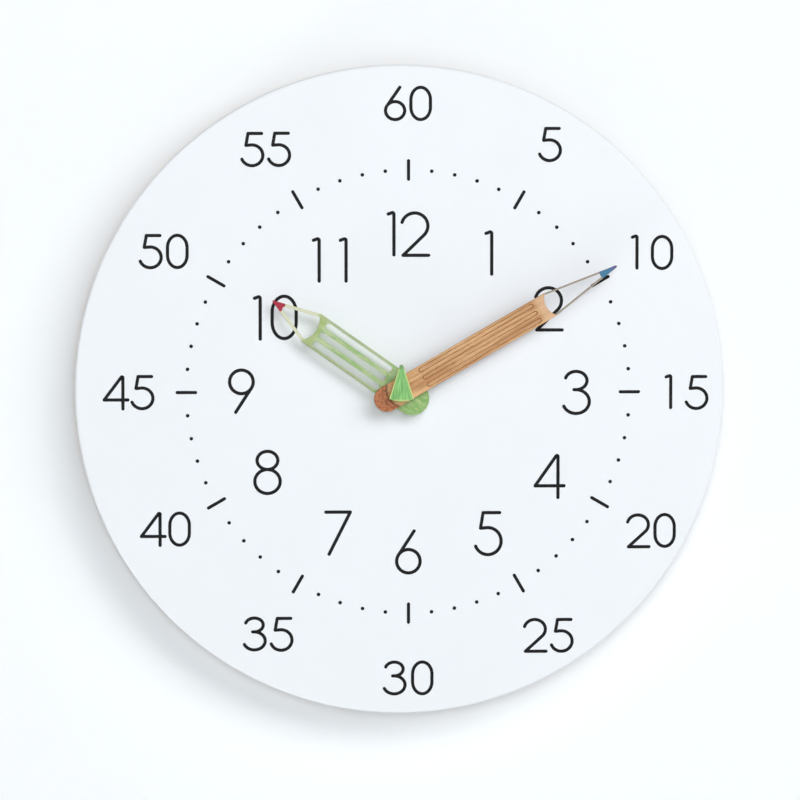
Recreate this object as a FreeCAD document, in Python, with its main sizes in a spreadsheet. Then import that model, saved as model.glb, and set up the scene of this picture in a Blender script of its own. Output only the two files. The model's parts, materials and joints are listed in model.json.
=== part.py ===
import FreeCAD, Part
import Sketcher
import os

# Teaching wall clock: a round white board, pencil-shaped hands and a battery quartz movement
# let into the back of the board. Millimetres and degrees. +Z is up and the dial faces -Y.
# The origin is where the hands' axis meets the wall, so a distance "in front of" the wall
# is measured along -Y. Every outline is drawn as it is seen from the front.

SIZES = (
    # board
    ("board_diameter", 300, "round board"),
    ("board_thickness", 18, ""),
    ("board_web", 2.5, "board left in front of the movement"),
    ("front_edge_radius", 3, "softened front edge"),
    ("front_edge_flats", 2, "turned flats that make up that edge"),
    ("pocket_clearance", 1, "between the movement and its pocket"),
    ("pocket_corner", 6, "radius of the pocket's corners"),
    ("hole_clearance", 0.2, "radial, where the bushing passes through the board"),
    # what stands between board and wall
    ("bumper_side", 12, "square pads"),
    ("bumper_circle", 250, "diameter of the circle that the bumpers lie on"),
    ("wall_gap", 0.6, "between the setting knob and the wall"),
    ("least_bumper", 2, "the thinnest bumper that is used"),
    # hanger
    ("hanger_length", 40, "keyhole plate, upright"),
    ("hanger_width", 18, ""),
    ("hanger_thickness", 1.5, ""),
    ("hanger_inset", 40, "middle of the plate below the board's edge"),
    ("hanger_clearance", 0.15, "around the plate in its recess"),
    ("keyhole_entry_radius", 4.5, "lets the nail's head in"),
    ("keyhole_slot_radius", 2.1, "takes the nail's shank"),
    ("keyhole_drop", 4, "middle of the entry below the middle of the plate"),
    ("keyhole_rise", 8, "top of the slot above the entry"),
    ("nail_room_depth", 7, "hollow behind the keyhole for the nail's head"),
    ("nail_room_margin", 2, "that hollow beyond the keyhole, all round"),
    ("screw_pitch", 32, "between the two hanger screws"),
    ("screw_radius", 1.5, ""),
    ("screw_length", 10, ""),
    ("screw_head_radius", 2.8, ""),
    ("screw_head_height", 1.4, ""),
    ("screw_hole_clearance", 0.2, "radial, in the plate"),
    # movement shell
    ("case_side", 56, "square movement case"),
    ("case_wall", 1.2, "front wall and rear cover"),
    ("case_side_wall", 1.5, ""),
    ("case_corner", 4, ""),
    ("cover_lip", 0.8, "thickness of the cover's locating lip"),
    ("cover_lip_height", 1.5, ""),
    ("fit_clearance", 0.15, "between the lip and the walls"),
    ("divider", 1, "wall between the train and the battery"),
    ("gasket_thickness", 0.6, ""),
    ("gasket_side", 20, "square gasket"),
    ("plate_thickness", 1, "middle plate"),
    ("plate_margin", 0.6, "between the middle plate and the walls"),
    ("post_side", 3.2, "square posts that carry the middle plate"),
    ("peg_side", 1.6, "square pegs on the posts, through the plate"),
    ("post_inset", 3.2, "posts from the walls"),
    # clamping through the board
    ("bushing_radius", 4, "threaded bushing"),
    ("bushing_flange_side", 11, "square flange inside the case"),
    ("bushing_flange", 0.8, "thickness of the flange"),
    ("bushing_stand", 0.6, "bushing in front of the nut"),
    ("washer_thickness", 0.6, ""),
    ("washer_radius", 7, ""),
    ("nut_thickness", 2, ""),
    ("nut_across_flats", 11, ""),
    # battery
    ("battery_radius", 7.25, ""),
    ("battery_length", 49.5, "without its nub"),
    ("battery_nub_radius", 2.75, ""),
    ("battery_nub", 1, "height of the nub"),
    ("battery_clearance", 0.3, "around the cell"),
    ("contact_thickness", 0.4, ""),
    ("contact_width", 5, ""),
    # teeth, in modules
    ("wheel_rise", 0.9, "wheel tooth outside the pitch circle"),
    ("wheel_depth", 1.6, "gap of a wheel inside the pitch circle"),
    ("leaf_rise", 0.8, "pinion leaf outside the pitch circle"),
    ("leaf_depth", 1.3, "pinion leaf inside the pitch circle"),
    ("leaf_half_root", 0.8, "half thickness of the leaf at its root"),
    ("leaf_half_tip", 0.25, ""),
    ("tooth_overrun", 0.3, "how far a cut between teeth runs past their tips"),
    # going train: leaves and teeth
    ("rotor_leaves", 6, ""),
    ("intermediate_teeth", 30, ""),
    ("intermediate_leaves", 6, ""),
    ("seconds_teeth", 36, ""),
    ("seconds_leaves", 6, ""),
    ("third_teeth", 45, ""),
    ("third_leaves", 6, ""),
    ("centre_teeth", 48, ""),
    ("rotor_module", 0.3, ""),
    ("seconds_module", 0.32, ""),
    ("third_module", 0.32, ""),
    # motion work: leaves and teeth
    ("cannon_leaves", 8, ""),
    ("minute_teeth", 24, ""),
    ("minute_leaves", 6, ""),
    ("hour_teeth", 24, ""),
    ("setting_leaves", 8, ""),
    ("cannon_module", 0.525, ""),
    # where the arbors stand, counterclockwise from the right, seen from the front
    ("third_direction", 150, "third wheel from the hands' axis"),
    ("intermediate_direction", 60, "intermediate wheel from the hands' axis"),
    ("rotor_direction", 60, "rotor from the intermediate wheel"),
    ("minute_direction", 20, "minute wheel from the hands' axis"),
    ("setting_direction", -10, "setting stem from the minute wheel"),
    # levels and fits
    ("wheel_thickness", 0.8, ""),
    ("leaf_overhang", 0.2, "pinions are longer than the wheels they drive, each side"),
    ("level_gap", 0.3, "between one wheel and the next level"),
    ("bearing_margin", 2, "block inside the rear cover, beyond the pins"),
    ("least_bearing", 2, "the thinnest bearing block"),
    ("pin_radius", 0.25, "fixed pins that the smaller wheels turn on"),
    ("pin_end", 0.3, "from a pin's end to the end of what turns on it"),
    ("minute_hub_radius", 0.7, ""),
    ("running_clearance", 0.05, "radial, every turning fit"),
    ("seat_clearance", 0.02, "radial, between pieces that are pressed together"),
    ("pivot_depth", 0.8, "the seconds arbor in its blind hole"),
    ("end_shake", 0.1, "play at a pivot's end"),
    # tubes on the hands' axis
    ("seconds_arbor_radius", 0.5, ""),
    ("cannon_tube_radius", 1.7, ""),
    ("cannon_stub_radius", 1.2, "carries the centre wheel"),
    ("hour_tube_radius", 2.55, ""),
    # stepping motor and circuit
    ("magnet_radius", 3, ""),
    ("magnet_length", 1.2, ""),
    ("stator_hole_radius", 3.3, ""),
    ("stator_ring_radius", 4.4, ""),
    ("stator_thickness", 1, ""),
    ("stator_arm_width", 3, ""),
    ("stator_span", 20, "between the arms' outer edges"),
    ("stator_left", 5.7, "outer edge of the left arm from the rotor's axis"),
    ("core_height", 10.1, "middle of the coil core above the rotor's axis"),
    ("core_width", 2.4, ""),
    ("bobbin_side", 8.4, "square flanges"),
    ("bobbin_flange", 0.8, ""),
    ("bobbin_wall", 0.5, ""),
    ("winding_radius", 3.7, ""),
    ("coil_gap", 0.3, "between the bobbin and the stator's arms"),
    ("board_length", 19, "circuit board"),
    ("board_height", 12, ""),
    ("board_stock", 1, "thickness of the circuit board"),
    ("chip_side", 5, ""),
    ("chip_height", 1.1, ""),
    ("crystal_radius", 1, ""),
    ("crystal_length", 6, ""),
    # setting knob
    ("stem_radius", 1, ""),
    ("knob_radius", 5, ""),
    ("knob_thickness", 1.7, ""),
    ("knob_gap", 0.3, "between knob and cover"),
    ("knob_notches", 12, ""),
    ("knob_notch_depth", 0.6, ""),
    # hands
    ("hand_thickness", 2, ""),
    ("hand_gap", 1, "between the hands"),
    ("hour_hand_reach", 72.2, "pivot to point"),
    ("hour_hand_width", 15.7, ""),
    ("hour_hand_tail", 14.1, "pivot to the end of the tail"),
    ("hour_hand_shoulder", 50.1, "pivot to the corners of the collar"),
    ("hour_hand_collar", 2.3, "how far the collar curves in"),
    ("hour_slot_width", 3, ""),
    ("hour_slot_pitch", 5, ""),
    ("hour_slot_start", 8.9, "from the pivot"),
    ("hour_slot_end", 45.7, ""),
    ("hour_point_length", 5.8, "solid coloured point"),
    ("hour_strut", 1.5, "width of the open end's sides"),
    ("hour_hand_shown", 305, "clockwise from 12"),
    ("minute_hand_reach", 114.6, "pivot to point"),
    ("minute_hand_width", 11.8, ""),
    ("minute_hand_tail", 13.5, ""),
    ("minute_hand_shoulder", 79, ""),
    ("minute_hand_collar", 1.9, ""),
    ("minute_point_length", 8.6, ""),
    ("minute_strut", 1, ""),
    ("minute_hand_shown", 60, "clockwise from 12"),
    ("pointer_rise", 12.1, "pivot to the top of the second pointer"),
    ("pointer_shoulder", 3.6, "pivot down to its lower corners"),
    ("pointer_drop", 4.8, "pivot down to the middle of its curved base"),
    ("pointer_width", 11.4, ""),
    ("pointer_tip_width", 1.6, ""),
    ("pointer_thickness", 1.8, ""),
)

document = FreeCAD.newDocument("teaching_wall_clock")
sheet = document.addObject("Spreadsheet::Sheet", "sizes")
for row, (name, size, note) in enumerate(SIZES, start=1):
    sheet.set(f"A{row}", name)
    sheet.set(f"B{row}", str(size))
    sheet.set(f"C{row}", note)
    sheet.setAlias(f"B{row}", name)
document.recompute()

Vector = FreeCAD.Vector
finished = []


# Distances in front of the wall, as expressions on the sheet, from the front to the back

def size(name):
    return f"sizes.{name}"


def value(expression):
    """The number that an expression on the sheet gives."""
    found = sheet.evalExpression(expression)
    return float(getattr(found, "Value", found))


STEP = "(sizes.wheel_thickness + sizes.leaf_overhang + sizes.level_gap)"
TRAIN_DEPTH = (
    f"(sizes.bushing_flange + 6 * {STEP} + sizes.plate_thickness + sizes.end_shake"
    " + sizes.least_bearing)"
)
BATTERY_DEPTH = "(2 * (sizes.battery_radius + sizes.battery_clearance))"
CASE_DEPTH = f"(sizes.case_wall + max({TRAIN_DEPTH} + sizes.case_wall; {BATTERY_DEPTH}))"
KNOB_DEPTH = "(sizes.wall_gap + sizes.knob_thickness + sizes.knob_gap)"
BEHIND_BOARD = (
    f"(sizes.board_web + sizes.gasket_thickness + {CASE_DEPTH} + {KNOB_DEPTH}"
    " - sizes.board_thickness)"
)
BOARD_BACK = f"max(sizes.least_bumper; {BEHIND_BOARD})"
BOARD_FRONT = f"({BOARD_BACK} + sizes.board_thickness)"
POCKET_FLOOR = f"({BOARD_FRONT} - sizes.board_web)"
CASE_FRONT = f"({POCKET_FLOOR} - sizes.gasket_thickness)"
CASE_REAR = f"({CASE_FRONT} - {CASE_DEPTH})"
INSIDE_FRONT = f"({CASE_FRONT} - sizes.case_wall)"
INSIDE_REAR = f"({CASE_REAR} + sizes.case_wall)"
HOUR_LEVEL = f"({INSIDE_FRONT} - sizes.bushing_flange - sizes.level_gap - sizes.wheel_thickness)"
MINUTE_LEVEL = f"({HOUR_LEVEL} - {STEP})"
CENTRE_LEVEL = f"({MINUTE_LEVEL} - {STEP})"
PLATE_FRONT = f"({CENTRE_LEVEL} - sizes.leaf_overhang - sizes.level_gap)"
PLATE_REAR = f"({PLATE_FRONT} - sizes.plate_thickness)"
THIRD_LEVEL = f"({PLATE_REAR} - {STEP})"
SECONDS_LEVEL = f"({THIRD_LEVEL} - {STEP})"
INTERMEDIATE_LEVEL = f"({SECONDS_LEVEL} - {STEP})"
BEARING_FRONT = f"({INTERMEDIATE_LEVEL} - sizes.leaf_overhang - sizes.end_shake)"
LEAVES_REAR_END = f"({BEARING_FRONT} + sizes.end_shake)"
MAGNET_FRONT = f"({PLATE_REAR} - sizes.end_shake)"
MAGNET_BACK = f"({MAGNET_FRONT} - sizes.magnet_length)"
BEHIND_STATOR = f"({PLATE_REAR} - sizes.stator_thickness - sizes.end_shake)"
NUT_FRONT = f"({BOARD_FRONT} + sizes.washer_thickness + sizes.nut_thickness)"
BUSHING_FRONT = f"({NUT_FRONT} + sizes.bushing_stand)"
HOUR_HAND_BACK = f"({BUSHING_FRONT} + sizes.hand_gap)"
HOUR_HAND_FRONT = f"({HOUR_HAND_BACK} + sizes.hand_thickness)"
MINUTE_HAND_BACK = f"({HOUR_HAND_FRONT} + sizes.hand_gap)"
MINUTE_HAND_FRONT = f"({MINUTE_HAND_BACK} + sizes.hand_thickness)"
POINTER_BACK = f"({MINUTE_HAND_FRONT} + sizes.hand_gap)"

# The hanger, the walls inside the case, seen from the front, and where the arbors stand

HANGER_HEIGHT = "(sizes.board_diameter / 2 - sizes.hanger_inset)"
INNER = "(sizes.case_side / 2 - sizes.case_side_wall)"
DIVIDER_LOW = f"(2 * sizes.battery_radius + 2 * sizes.battery_clearance - {INNER})"
DIVIDER_HIGH = f"({DIVIDER_LOW} + sizes.divider)"

MINUTE_MODULE = (
    "(sizes.cannon_module * (sizes.cannon_leaves + sizes.minute_teeth)"
    " / (sizes.minute_leaves + sizes.hour_teeth))"
)
CENTRE_MODULE = (
    "(sizes.third_module * (sizes.seconds_leaves + sizes.third_teeth)"
    " / (sizes.third_leaves + sizes.centre_teeth))"
)


def beside(start, reach, direction):
    """The place that lies at a distance from another, in a direction on the sheet."""
    x = f"({start[0]} + {reach} * cos({size(direction)}))"
    z = f"({start[1]} + {reach} * sin({size(direction)}))"
    return x, z


def apart(first, second, module):
    """The distance between two arbors, from the teeth that mesh and their module."""
    return f"(({size(first)} + {size(second)}) * {size(module)} / 2)"


AXIS = ("0", "0")
THIRD = beside(AXIS, apart("seconds_leaves", "third_teeth", "third_module"), "third_direction")
INTERMEDIATE = beside(
    AXIS,
    apart("intermediate_leaves", "seconds_teeth", "seconds_module"),
    "intermediate_direction",
)
ROTOR = beside(
    INTERMEDIATE,
    apart("rotor_leaves", "intermediate_teeth", "rotor_module"),
    "rotor_direction",
)
MINUTE = beside(
    AXIS, apart("cannon_leaves", "minute_teeth", "cannon_module"), "minute_direction"
)
SETTING = beside(
    MINUTE, apart("setting_leaves", "minute_teeth", "cannon_module"), "setting_direction"
)


# Sketches and features

def plane_of(body, role):
    return next(p for p in body.Origin.OriginFeatures if p.Role == role)


def new_profile(body, name):
    """A sketch that holds the hands' axis, upright in it: X across, Y towards the wall."""
    sketch = body.newObject("Sketcher::SketchObject", f"{body.Label}_{name}")
    sketch.AttachmentSupport = [(plane_of(body, "XY_Plane"), "")]
    sketch.MapMode = "FlatFace"
    return sketch


def new_sketch(body, name, front, turn=None):
    """A sketch parallel to the wall, seen from the front, at a distance in front of it."""
    sketch = body.newObject("Sketcher::SketchObject", f"{body.Label}_{name}")
    sketch.AttachmentSupport = [(plane_of(body, "XZ_Plane"), "")]
    sketch.MapMode = "FlatFace"
    sketch.setExpression("AttachmentOffset.Base.z", front)
    if turn:
        sketch.setExpression("AttachmentOffset.Rotation.Angle", turn)
    return sketch


def bind(sketch, constraint, expression):
    number = sketch.addConstraint(constraint)
    sketch.setExpression(f"Constraints[{number}]", expression)


def pin(sketch, line, end, place):
    """Hold a point of a sketch at a place, a pair of expressions."""
    kinds = zip(("DistanceX", "DistanceY"), place)
    for kind, expression in kinds:
        held = Sketcher.Constraint(kind, -1, 1, line, end, value(expression))
        bind(sketch, held, expression)


def add_circle(sketch, radius, place=AXIS):
    centre = Vector(value(place[0]), value(place[1]), 0)
    drawn = Part.Circle(centre, Vector(0, 0, 1), value(radius))
    circle = sketch.addGeometry(drawn, False)
    bind(sketch, Sketcher.Constraint("Radius", circle, value(radius)), radius)
    if place == AXIS:
        sketch.addConstraint(Sketcher.Constraint("Coincident", circle, 3, -1, 1))
    else:
        pin(sketch, circle, 3, place)


def add_outline(sketch, *steps):
    """A closed outline that runs counterclockwise. A step is a point, or a point and the
    centre of the arc that leads on from it, counterclockwise, all as expressions."""
    points = [Vector(value(s[0]), value(s[1]), 0) for s in steps]
    lines = []
    for number, step in enumerate(steps):
        start, end = points[number], points[(number + 1) % len(steps)]
        if len(step) == 2:
            lines.append(sketch.addGeometry(Part.LineSegment(start, end), False))
            continue
        centre = Vector(value(step[2]), value(step[3]), 0)
        circle = Part.Circle(centre, Vector(0, 0, 1), start.distanceToPoint(centre))
        arc = Part.ArcOfCircle(circle, circle.parameter(start), circle.parameter(end))
        lines.append(sketch.addGeometry(arc, False))
    for number, line in enumerate(lines):
        following = lines[(number + 1) % len(lines)]
        sketch.addConstraint(Sketcher.Constraint("Coincident", line, 2, following, 1))
        step = steps[number]
        pin(sketch, line, 1, step[:2])
        if len(step) > 2:
            chord = points[(number + 1) % len(steps)] - points[number]
            flat = abs(chord.x) > abs(chord.y)
            kind = "DistanceY" if flat else "DistanceX"
            held = step[3] if flat else step[2]
            bind(sketch, Sketcher.Constraint(kind, -1, 1, line, 3, value(held)), held)


def add_rectangle(sketch, left, right, low, high):
    add_outline(sketch, (left, low), (right, low), (right, high), (left, high))


def add_rounded(sketch, half_width, half_height, corner):
    """A rectangle about the origin with rounded corners."""
    x = f"({half_width} - {corner})"
    z = f"({half_height} - {corner})"
    add_outline(
        sketch,
        (x, f"-{half_height}", x, f"-{z}"),
        (half_width, f"-{z}"),
        (half_width, z, x, z),
        (x, half_height),
        (f"-{x}", half_height, f"-{x}", z),
        (f"-{half_width}", z),
        (f"-{half_width}", f"-{z}", f"-{x}", f"-{z}"),
        (f"-{x}", f"-{half_height}"),
    )


def add_slot(sketch, half_width, start, end, across="0"):
    """An upright slot with round ends, between two heights, its middle at a place across."""
    left = f"({across} - {half_width})"
    right = f"({across} + {half_width})"
    low = f"({start} + {half_width})"
    high = f"({end} - {half_width})"
    add_outline(
        sketch,
        (left, low, across, low),
        (right, low),
        (right, high, across, high),
        (left, high),
    )


def new_body(name):
    body = document.addObject("PartDesign::Body", name)
    body.Label = name
    return body


def pad(body, sketch, length):
    """Thicken a sketch towards the front."""
    feature = body.newObject("PartDesign::Pad", f"{sketch.Name}_pad")
    feature.Profile = sketch
    feature.setExpression("Length", length)
    document.recompute()
    return feature


def pocket(body, sketch, length, from_back=False):
    """Cut a sketch out of the body, backwards, or forwards if it starts at the back."""
    before = body.Shape.Volume
    feature = body.newObject("PartDesign::Pocket", f"{sketch.Name}_cut")
    feature.Profile = sketch
    feature.setExpression("Length", length)
    feature.Reversed = from_back
    document.recompute()
    if body.Shape.Volume > before - 1e-6:
        raise RuntimeError(f"{feature.Name} cuts nothing")
    return feature


def repeat(body, feature, axis_sketch, count):
    """Repeat a feature round the axis of a sketch."""
    pattern = body.newObject("PartDesign::PolarPattern", f"{feature.Name}_all")
    pattern.Originals = [feature]
    pattern.Axis = (axis_sketch, ["N_Axis"])
    pattern.Angle = 360
    pattern.setExpression("Occurrences", count)
    pattern.Refine = False
    body.Tip = pattern
    document.recompute()
    return pattern


def disc(body, name, radius, back, thickness):
    sketch = new_sketch(body, name, back)
    add_circle(sketch, radius)
    return pad(body, sketch, thickness)


def bore(body, name, radius, front, depth, place=AXIS):
    """A round hole that runs backwards from a distance in front of the wall."""
    sketch = new_sketch(body, name, front)
    add_circle(sketch, radius, place)
    return pocket(body, sketch, depth)


def stand(body, place):
    """Move a body to its axis, a pair of expressions."""
    body.setExpression("Placement.Base.x", place[0])
    body.setExpression("Placement.Base.z", place[1])


def finish(node):
    finished.append(node)
    return node


def leaves_back(level):
    return f"({level} - sizes.leaf_overhang)"


def leaves_front(level):
    return f"({level} + sizes.wheel_thickness + sizes.leaf_overhang)"


def wheel_front(level):
    return f"({level} + sizes.wheel_thickness)"


# Toothed wheels

class Teeth:
    """A ring of teeth: how many, their module, their form and where the first one points."""

    def __init__(self, count, module, form, first):
        self.count = count
        self.module = module
        self.form = form
        self.first = first
        self.pitch_radius = f"({module} * {count} / 2)"
        self.tip_radius = f"({self.pitch_radius} + {module} * {size(form + '_rise')})"

    def flank(self, level, half_thickness):
        """A corner of the gap that points up, on the tooth to its right: how far out on that
        tooth, and how far from its middle."""
        angle = f"(180 / {self.count})"
        across = f"({half_thickness} * {self.module})"
        x = f"({level} * sin({angle}) - {across} * cos({angle}))"
        z = f"({level} * cos({angle}) + {across} * sin({angle}))"
        return x, z

    def blank(self, body, name, back, front):
        """A disc a little wider than the teeth, which the cuts between them trim all round."""
        radius = f"({self.tip_radius} + {self.module} * sizes.tooth_overrun / 2)"
        return disc(body, name, radius, back, f"({front} - {back})")

    def cut(self, body, name, back, front):
        """Cut the gaps between the teeth into the blank, each past the tips of the teeth on
        either side. Between leaves a gap has a flat root, and between wheel teeth, which are
        pointed, it narrows to an edge."""
        root = f"({self.pitch_radius} - {self.module} * {size(self.form + '_depth')})"
        beyond = f"({self.tip_radius} + {self.module} * sizes.tooth_overrun)"
        if self.form == "leaf":
            right = [
                self.flank(root, "sizes.leaf_half_root"),
                self.flank(self.tip_radius, "sizes.leaf_half_tip"),
                self.flank(self.tip_radius, "(-sizes.tooth_overrun)"),
                self.flank(beyond, "(-sizes.tooth_overrun)"),
            ]
            bottom = []
        else:
            half_pitch = f"(180 / {self.count})"
            depth = f"({self.tip_radius} - {root} * cos({half_pitch}))"
            slope = f"({root} * sin({half_pitch}) / {depth})"
            right = [self.flank(beyond, f"(-{slope} * sizes.tooth_overrun)")]
            bottom = [("0", root)]
        left = [(f"(-{x})", z) for x, z in reversed(right)]
        turn = f"({self.first} + 180 / {self.count} - 90)"
        top = ("0", f"({beyond} / cos(180 / {self.count}))")
        gap = new_sketch(body, f"{name}_gap", front, turn)
        add_outline(gap, *bottom, *right, top, *left)
        return repeat(body, pocket(body, gap, f"({front} - {back})"), gap, self.count)


def meshing(driver, towards, count, module, form):
    """Teeth whose gap meets a tooth of the driver's, which lies in the opposite direction."""
    first = (
        f"({towards} + 180 - 180 / {count}"
        f" + ({towards} - {driver.first}) * {driver.count} / {count})"
    )
    return Teeth(count, module, form, first)


def gear_piece(name, rings, shafts, holes=(), place=None):
    """Turned and toothed. Rings of teeth, shafts and holes on the axis each run from a
    distance in front of the wall to another."""
    body = new_body(name)
    for ring, teeth, back, front in rings:
        teeth.blank(body, ring, back, front)
    for shaft, radius, back, front in shafts:
        disc(body, shaft, radius, back, f"{front} - {back}")
    for ring, teeth, back, front in rings:
        teeth.cut(body, ring, back, front)
    for hole, radius, back, front in holes:
        bore(body, hole, radius, front, f"{front} - {back}")
    if place:
        stand(body, place)
    return finish(body)


third_way = size("third_direction")
intermediate_way = size("intermediate_direction")
rotor_way = size("rotor_direction")
minute_way = size("minute_direction")
setting_way = size("setting_direction")

cannon_teeth = Teeth(size("cannon_leaves"), size("cannon_module"), "leaf", minute_way)
minute_teeth = meshing(
    cannon_teeth, minute_way, size("minute_teeth"), size("cannon_module"), "wheel"
)
setting_teeth = meshing(
    minute_teeth, setting_way, size("setting_leaves"), size("cannon_module"), "leaf"
)
minute_leaves = Teeth(size("minute_leaves"), MINUTE_MODULE, "leaf", f"({minute_way} + 180)")
hour_teeth = meshing(
    minute_leaves, f"({minute_way} + 180)", size("hour_teeth"), MINUTE_MODULE, "wheel"
)
seconds_leaves = Teeth(size("seconds_leaves"), size("third_module"), "leaf", third_way)
third_teeth = meshing(
    seconds_leaves, third_way, size("third_teeth"), size("third_module"), "wheel"
)
third_leaves = Teeth(size("third_leaves"), CENTRE_MODULE, "leaf", f"({third_way} + 180)")
centre_teeth = meshing(
    third_leaves, f"({third_way} + 180)", size("centre_teeth"), CENTRE_MODULE, "wheel"
)
seconds_teeth = Teeth(
    size("seconds_teeth"), size("seconds_module"), "wheel", intermediate_way
)
intermediate_leaves = meshing(
    seconds_teeth,
    intermediate_way,
    size("intermediate_leaves"),
    size("seconds_module"),
    "leaf",
)
intermediate_teeth = Teeth(
    size("intermediate_teeth"), size("rotor_module"), "wheel", rotor_way
)
rotor_leaves = meshing(
    intermediate_teeth, rotor_way, size("rotor_leaves"), size("rotor_module"), "leaf"
)


# Board, hanger and bumpers

def soft_edge_angles():
    """The turned flats follow a quarter of a circle."""
    flats = int(value("sizes.front_edge_flats"))
    return [90 * corner / flats for corner in range(flats + 1)]


def dial_board():
    body = new_body("dial_board")
    profile = new_profile(body, "profile")
    rim = "(sizes.board_diameter / 2)"
    soft_edge = [
        (
            f"({rim} - sizes.front_edge_radius * (1 - sin({degrees})))",
            f"(sizes.front_edge_radius * (1 - cos({degrees})) - {BOARD_FRONT})",
        )
        for degrees in soft_edge_angles()
    ]
    back = f"(-{BOARD_BACK})"
    add_outline(profile, ("0", f"(-{BOARD_FRONT})"), *soft_edge, (rim, back), ("0", back))
    turned = body.newObject("PartDesign::Revolution", "board_turned")
    turned.Profile = profile
    turned.ReferenceAxis = (profile, ["V_Axis"])
    turned.Angle = 360
    document.recompute()
    room = new_sketch(body, "movement_room", BOARD_BACK)
    half = "(sizes.case_side / 2 + sizes.pocket_clearance)"
    add_rounded(room, half, half, "sizes.pocket_corner")
    pocket(body, room, "sizes.board_thickness - sizes.board_web", from_back=True)
    bore(
        body,
        "bushing_hole",
        "sizes.bushing_radius + sizes.hole_clearance",
        BOARD_FRONT,
        "sizes.board_web",
    )
    recess = new_sketch(body, "hanger_recess", BOARD_BACK)
    half_width = "(sizes.hanger_width / 2 + sizes.hanger_clearance)"
    low = f"({HANGER_HEIGHT} - sizes.hanger_length / 2 - sizes.hanger_clearance)"
    high = f"({HANGER_HEIGHT} + sizes.hanger_length / 2 + sizes.hanger_clearance)"
    add_rectangle(recess, f"-{half_width}", half_width, low, high)
    pocket(body, recess, "sizes.hanger_thickness", from_back=True)
    nail_room = new_sketch(body, "nail_room", f"({BOARD_BACK} + sizes.hanger_thickness)")
    radius = "(sizes.keyhole_entry_radius + sizes.nail_room_margin)"
    entry = f"({HANGER_HEIGHT} - sizes.keyhole_drop)"
    top = f"({entry} + sizes.keyhole_rise + {radius})"
    add_rectangle(nail_room, f"-{radius}", radius, f"({entry} - {radius})", top)
    pocket(body, nail_room, "sizes.nail_room_depth", from_back=True)
    for name, sign in (("upper", "+"), ("lower", "-")):
        hole = new_sketch(
            body, f"{name}_screw_hole", f"({BOARD_BACK} + sizes.hanger_thickness)"
        )
        place = ("0", f"({HANGER_HEIGHT} {sign} sizes.screw_pitch / 2)")
        add_circle(hole, "(sizes.screw_radius + sizes.seat_clearance)", place)
        pocket(body, hole, "sizes.screw_length", from_back=True)
    return finish(body)


def hanger_plate():
    body = new_body("hanger_plate")
    blank = new_sketch(body, "blank", BOARD_BACK)
    low = f"({HANGER_HEIGHT} - sizes.hanger_length / 2)"
    high = f"({HANGER_HEIGHT} + sizes.hanger_length / 2)"
    add_rectangle(blank, "-sizes.hanger_width / 2", "sizes.hanger_width / 2", low, high)
    pad(body, blank, "sizes.hanger_thickness")
    front = f"({BOARD_BACK} + sizes.hanger_thickness)"
    entry = f"({HANGER_HEIGHT} - sizes.keyhole_drop)"
    bore(
        body,
        "keyhole_entry",
        "sizes.keyhole_entry_radius",
        front,
        "sizes.hanger_thickness",
        ("0", entry),
    )
    slot = new_sketch(body, "keyhole_slot", front)
    top = f"({entry} + sizes.keyhole_rise + sizes.keyhole_slot_radius)"
    add_slot(slot, "sizes.keyhole_slot_radius", entry, top)
    pocket(body, slot, "sizes.hanger_thickness")
    for name, sign in (("upper", "+"), ("lower", "-")):
        place = ("0", f"({HANGER_HEIGHT} {sign} sizes.screw_pitch / 2)")
        radius = "(sizes.screw_radius + sizes.screw_hole_clearance)"
        bore(body, f"{name}_hole", radius, front, "sizes.hanger_thickness", place)
    return finish(body)


def facing_front(shape, back, place=AXIS):
    """Stand a Part primitive on a distance in front of the wall, its axis forwards."""
    shape.Placement = FreeCAD.Placement(Vector(), FreeCAD.Rotation(Vector(1, 0, 0), 90))
    shape.setExpression("Placement.Base.x", place[0])
    shape.setExpression("Placement.Base.y", f"-{back}")
    shape.setExpression("Placement.Base.z", place[1])
    return shape


def cylinder(name, radius, height):
    shape = document.addObject("Part::Cylinder", name)
    shape.setExpression("Radius", radius)
    shape.setExpression("Height", height)
    return shape


def joined(name, *shapes, kind="Part::MultiFuse"):
    whole = document.addObject(kind, name)
    if kind == "Part::Compound":
        whole.Links = list(shapes)
    else:
        whole.Shapes = list(shapes)
    return whole


def less(name, base, tool):
    cut = document.addObject("Part::Cut", name)
    cut.Base = base
    cut.Tool = tool
    return cut


def hanger_screws():
    """Two screws with low round heads that hold the plate against the board."""
    screws = []
    for name, sign in (("upper", "+"), ("lower", "-")):
        place = ("0", f"({HANGER_HEIGHT} {sign} sizes.screw_pitch / 2)")
        length = "sizes.hanger_thickness + sizes.screw_length"
        shank = facing_front(
            cylinder(f"{name}_shank", "sizes.screw_radius", length), BOARD_BACK, place
        )
        head = facing_front(
            cylinder(f"{name}_head", "sizes.screw_head_radius", "sizes.screw_head_height"),
            f"({BOARD_BACK} - sizes.screw_head_height)",
            place,
        )
        screws.append(joined(f"{name}_screw", shank, head))
    return finish(joined("hanger_screws", *screws, kind="Part::Compound"))


def wall_bumpers():
    """Four square rubber pads between the board and the wall."""
    pads = []
    for number, degrees in enumerate((45, 135, 225, 315), start=1):
        block = document.addObject("Part::Box", f"bumper_{number}")
        block.setExpression("Length", "sizes.bumper_side")
        block.setExpression("Width", BOARD_BACK)
        block.setExpression("Height", "sizes.bumper_side")
        reach = "sizes.bumper_circle / 2"
        half = "sizes.bumper_side / 2"
        block.setExpression("Placement.Base.x", f"{reach} * cos({degrees}) - {half}")
        block.setExpression("Placement.Base.y", f"-{BOARD_BACK}")
        block.setExpression("Placement.Base.z", f"{reach} * sin({degrees}) - {half}")
        pads.append(block)
    return finish(joined("wall_bumpers", *pads, kind="Part::Compound"))


# What clamps the movement to the board

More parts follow.
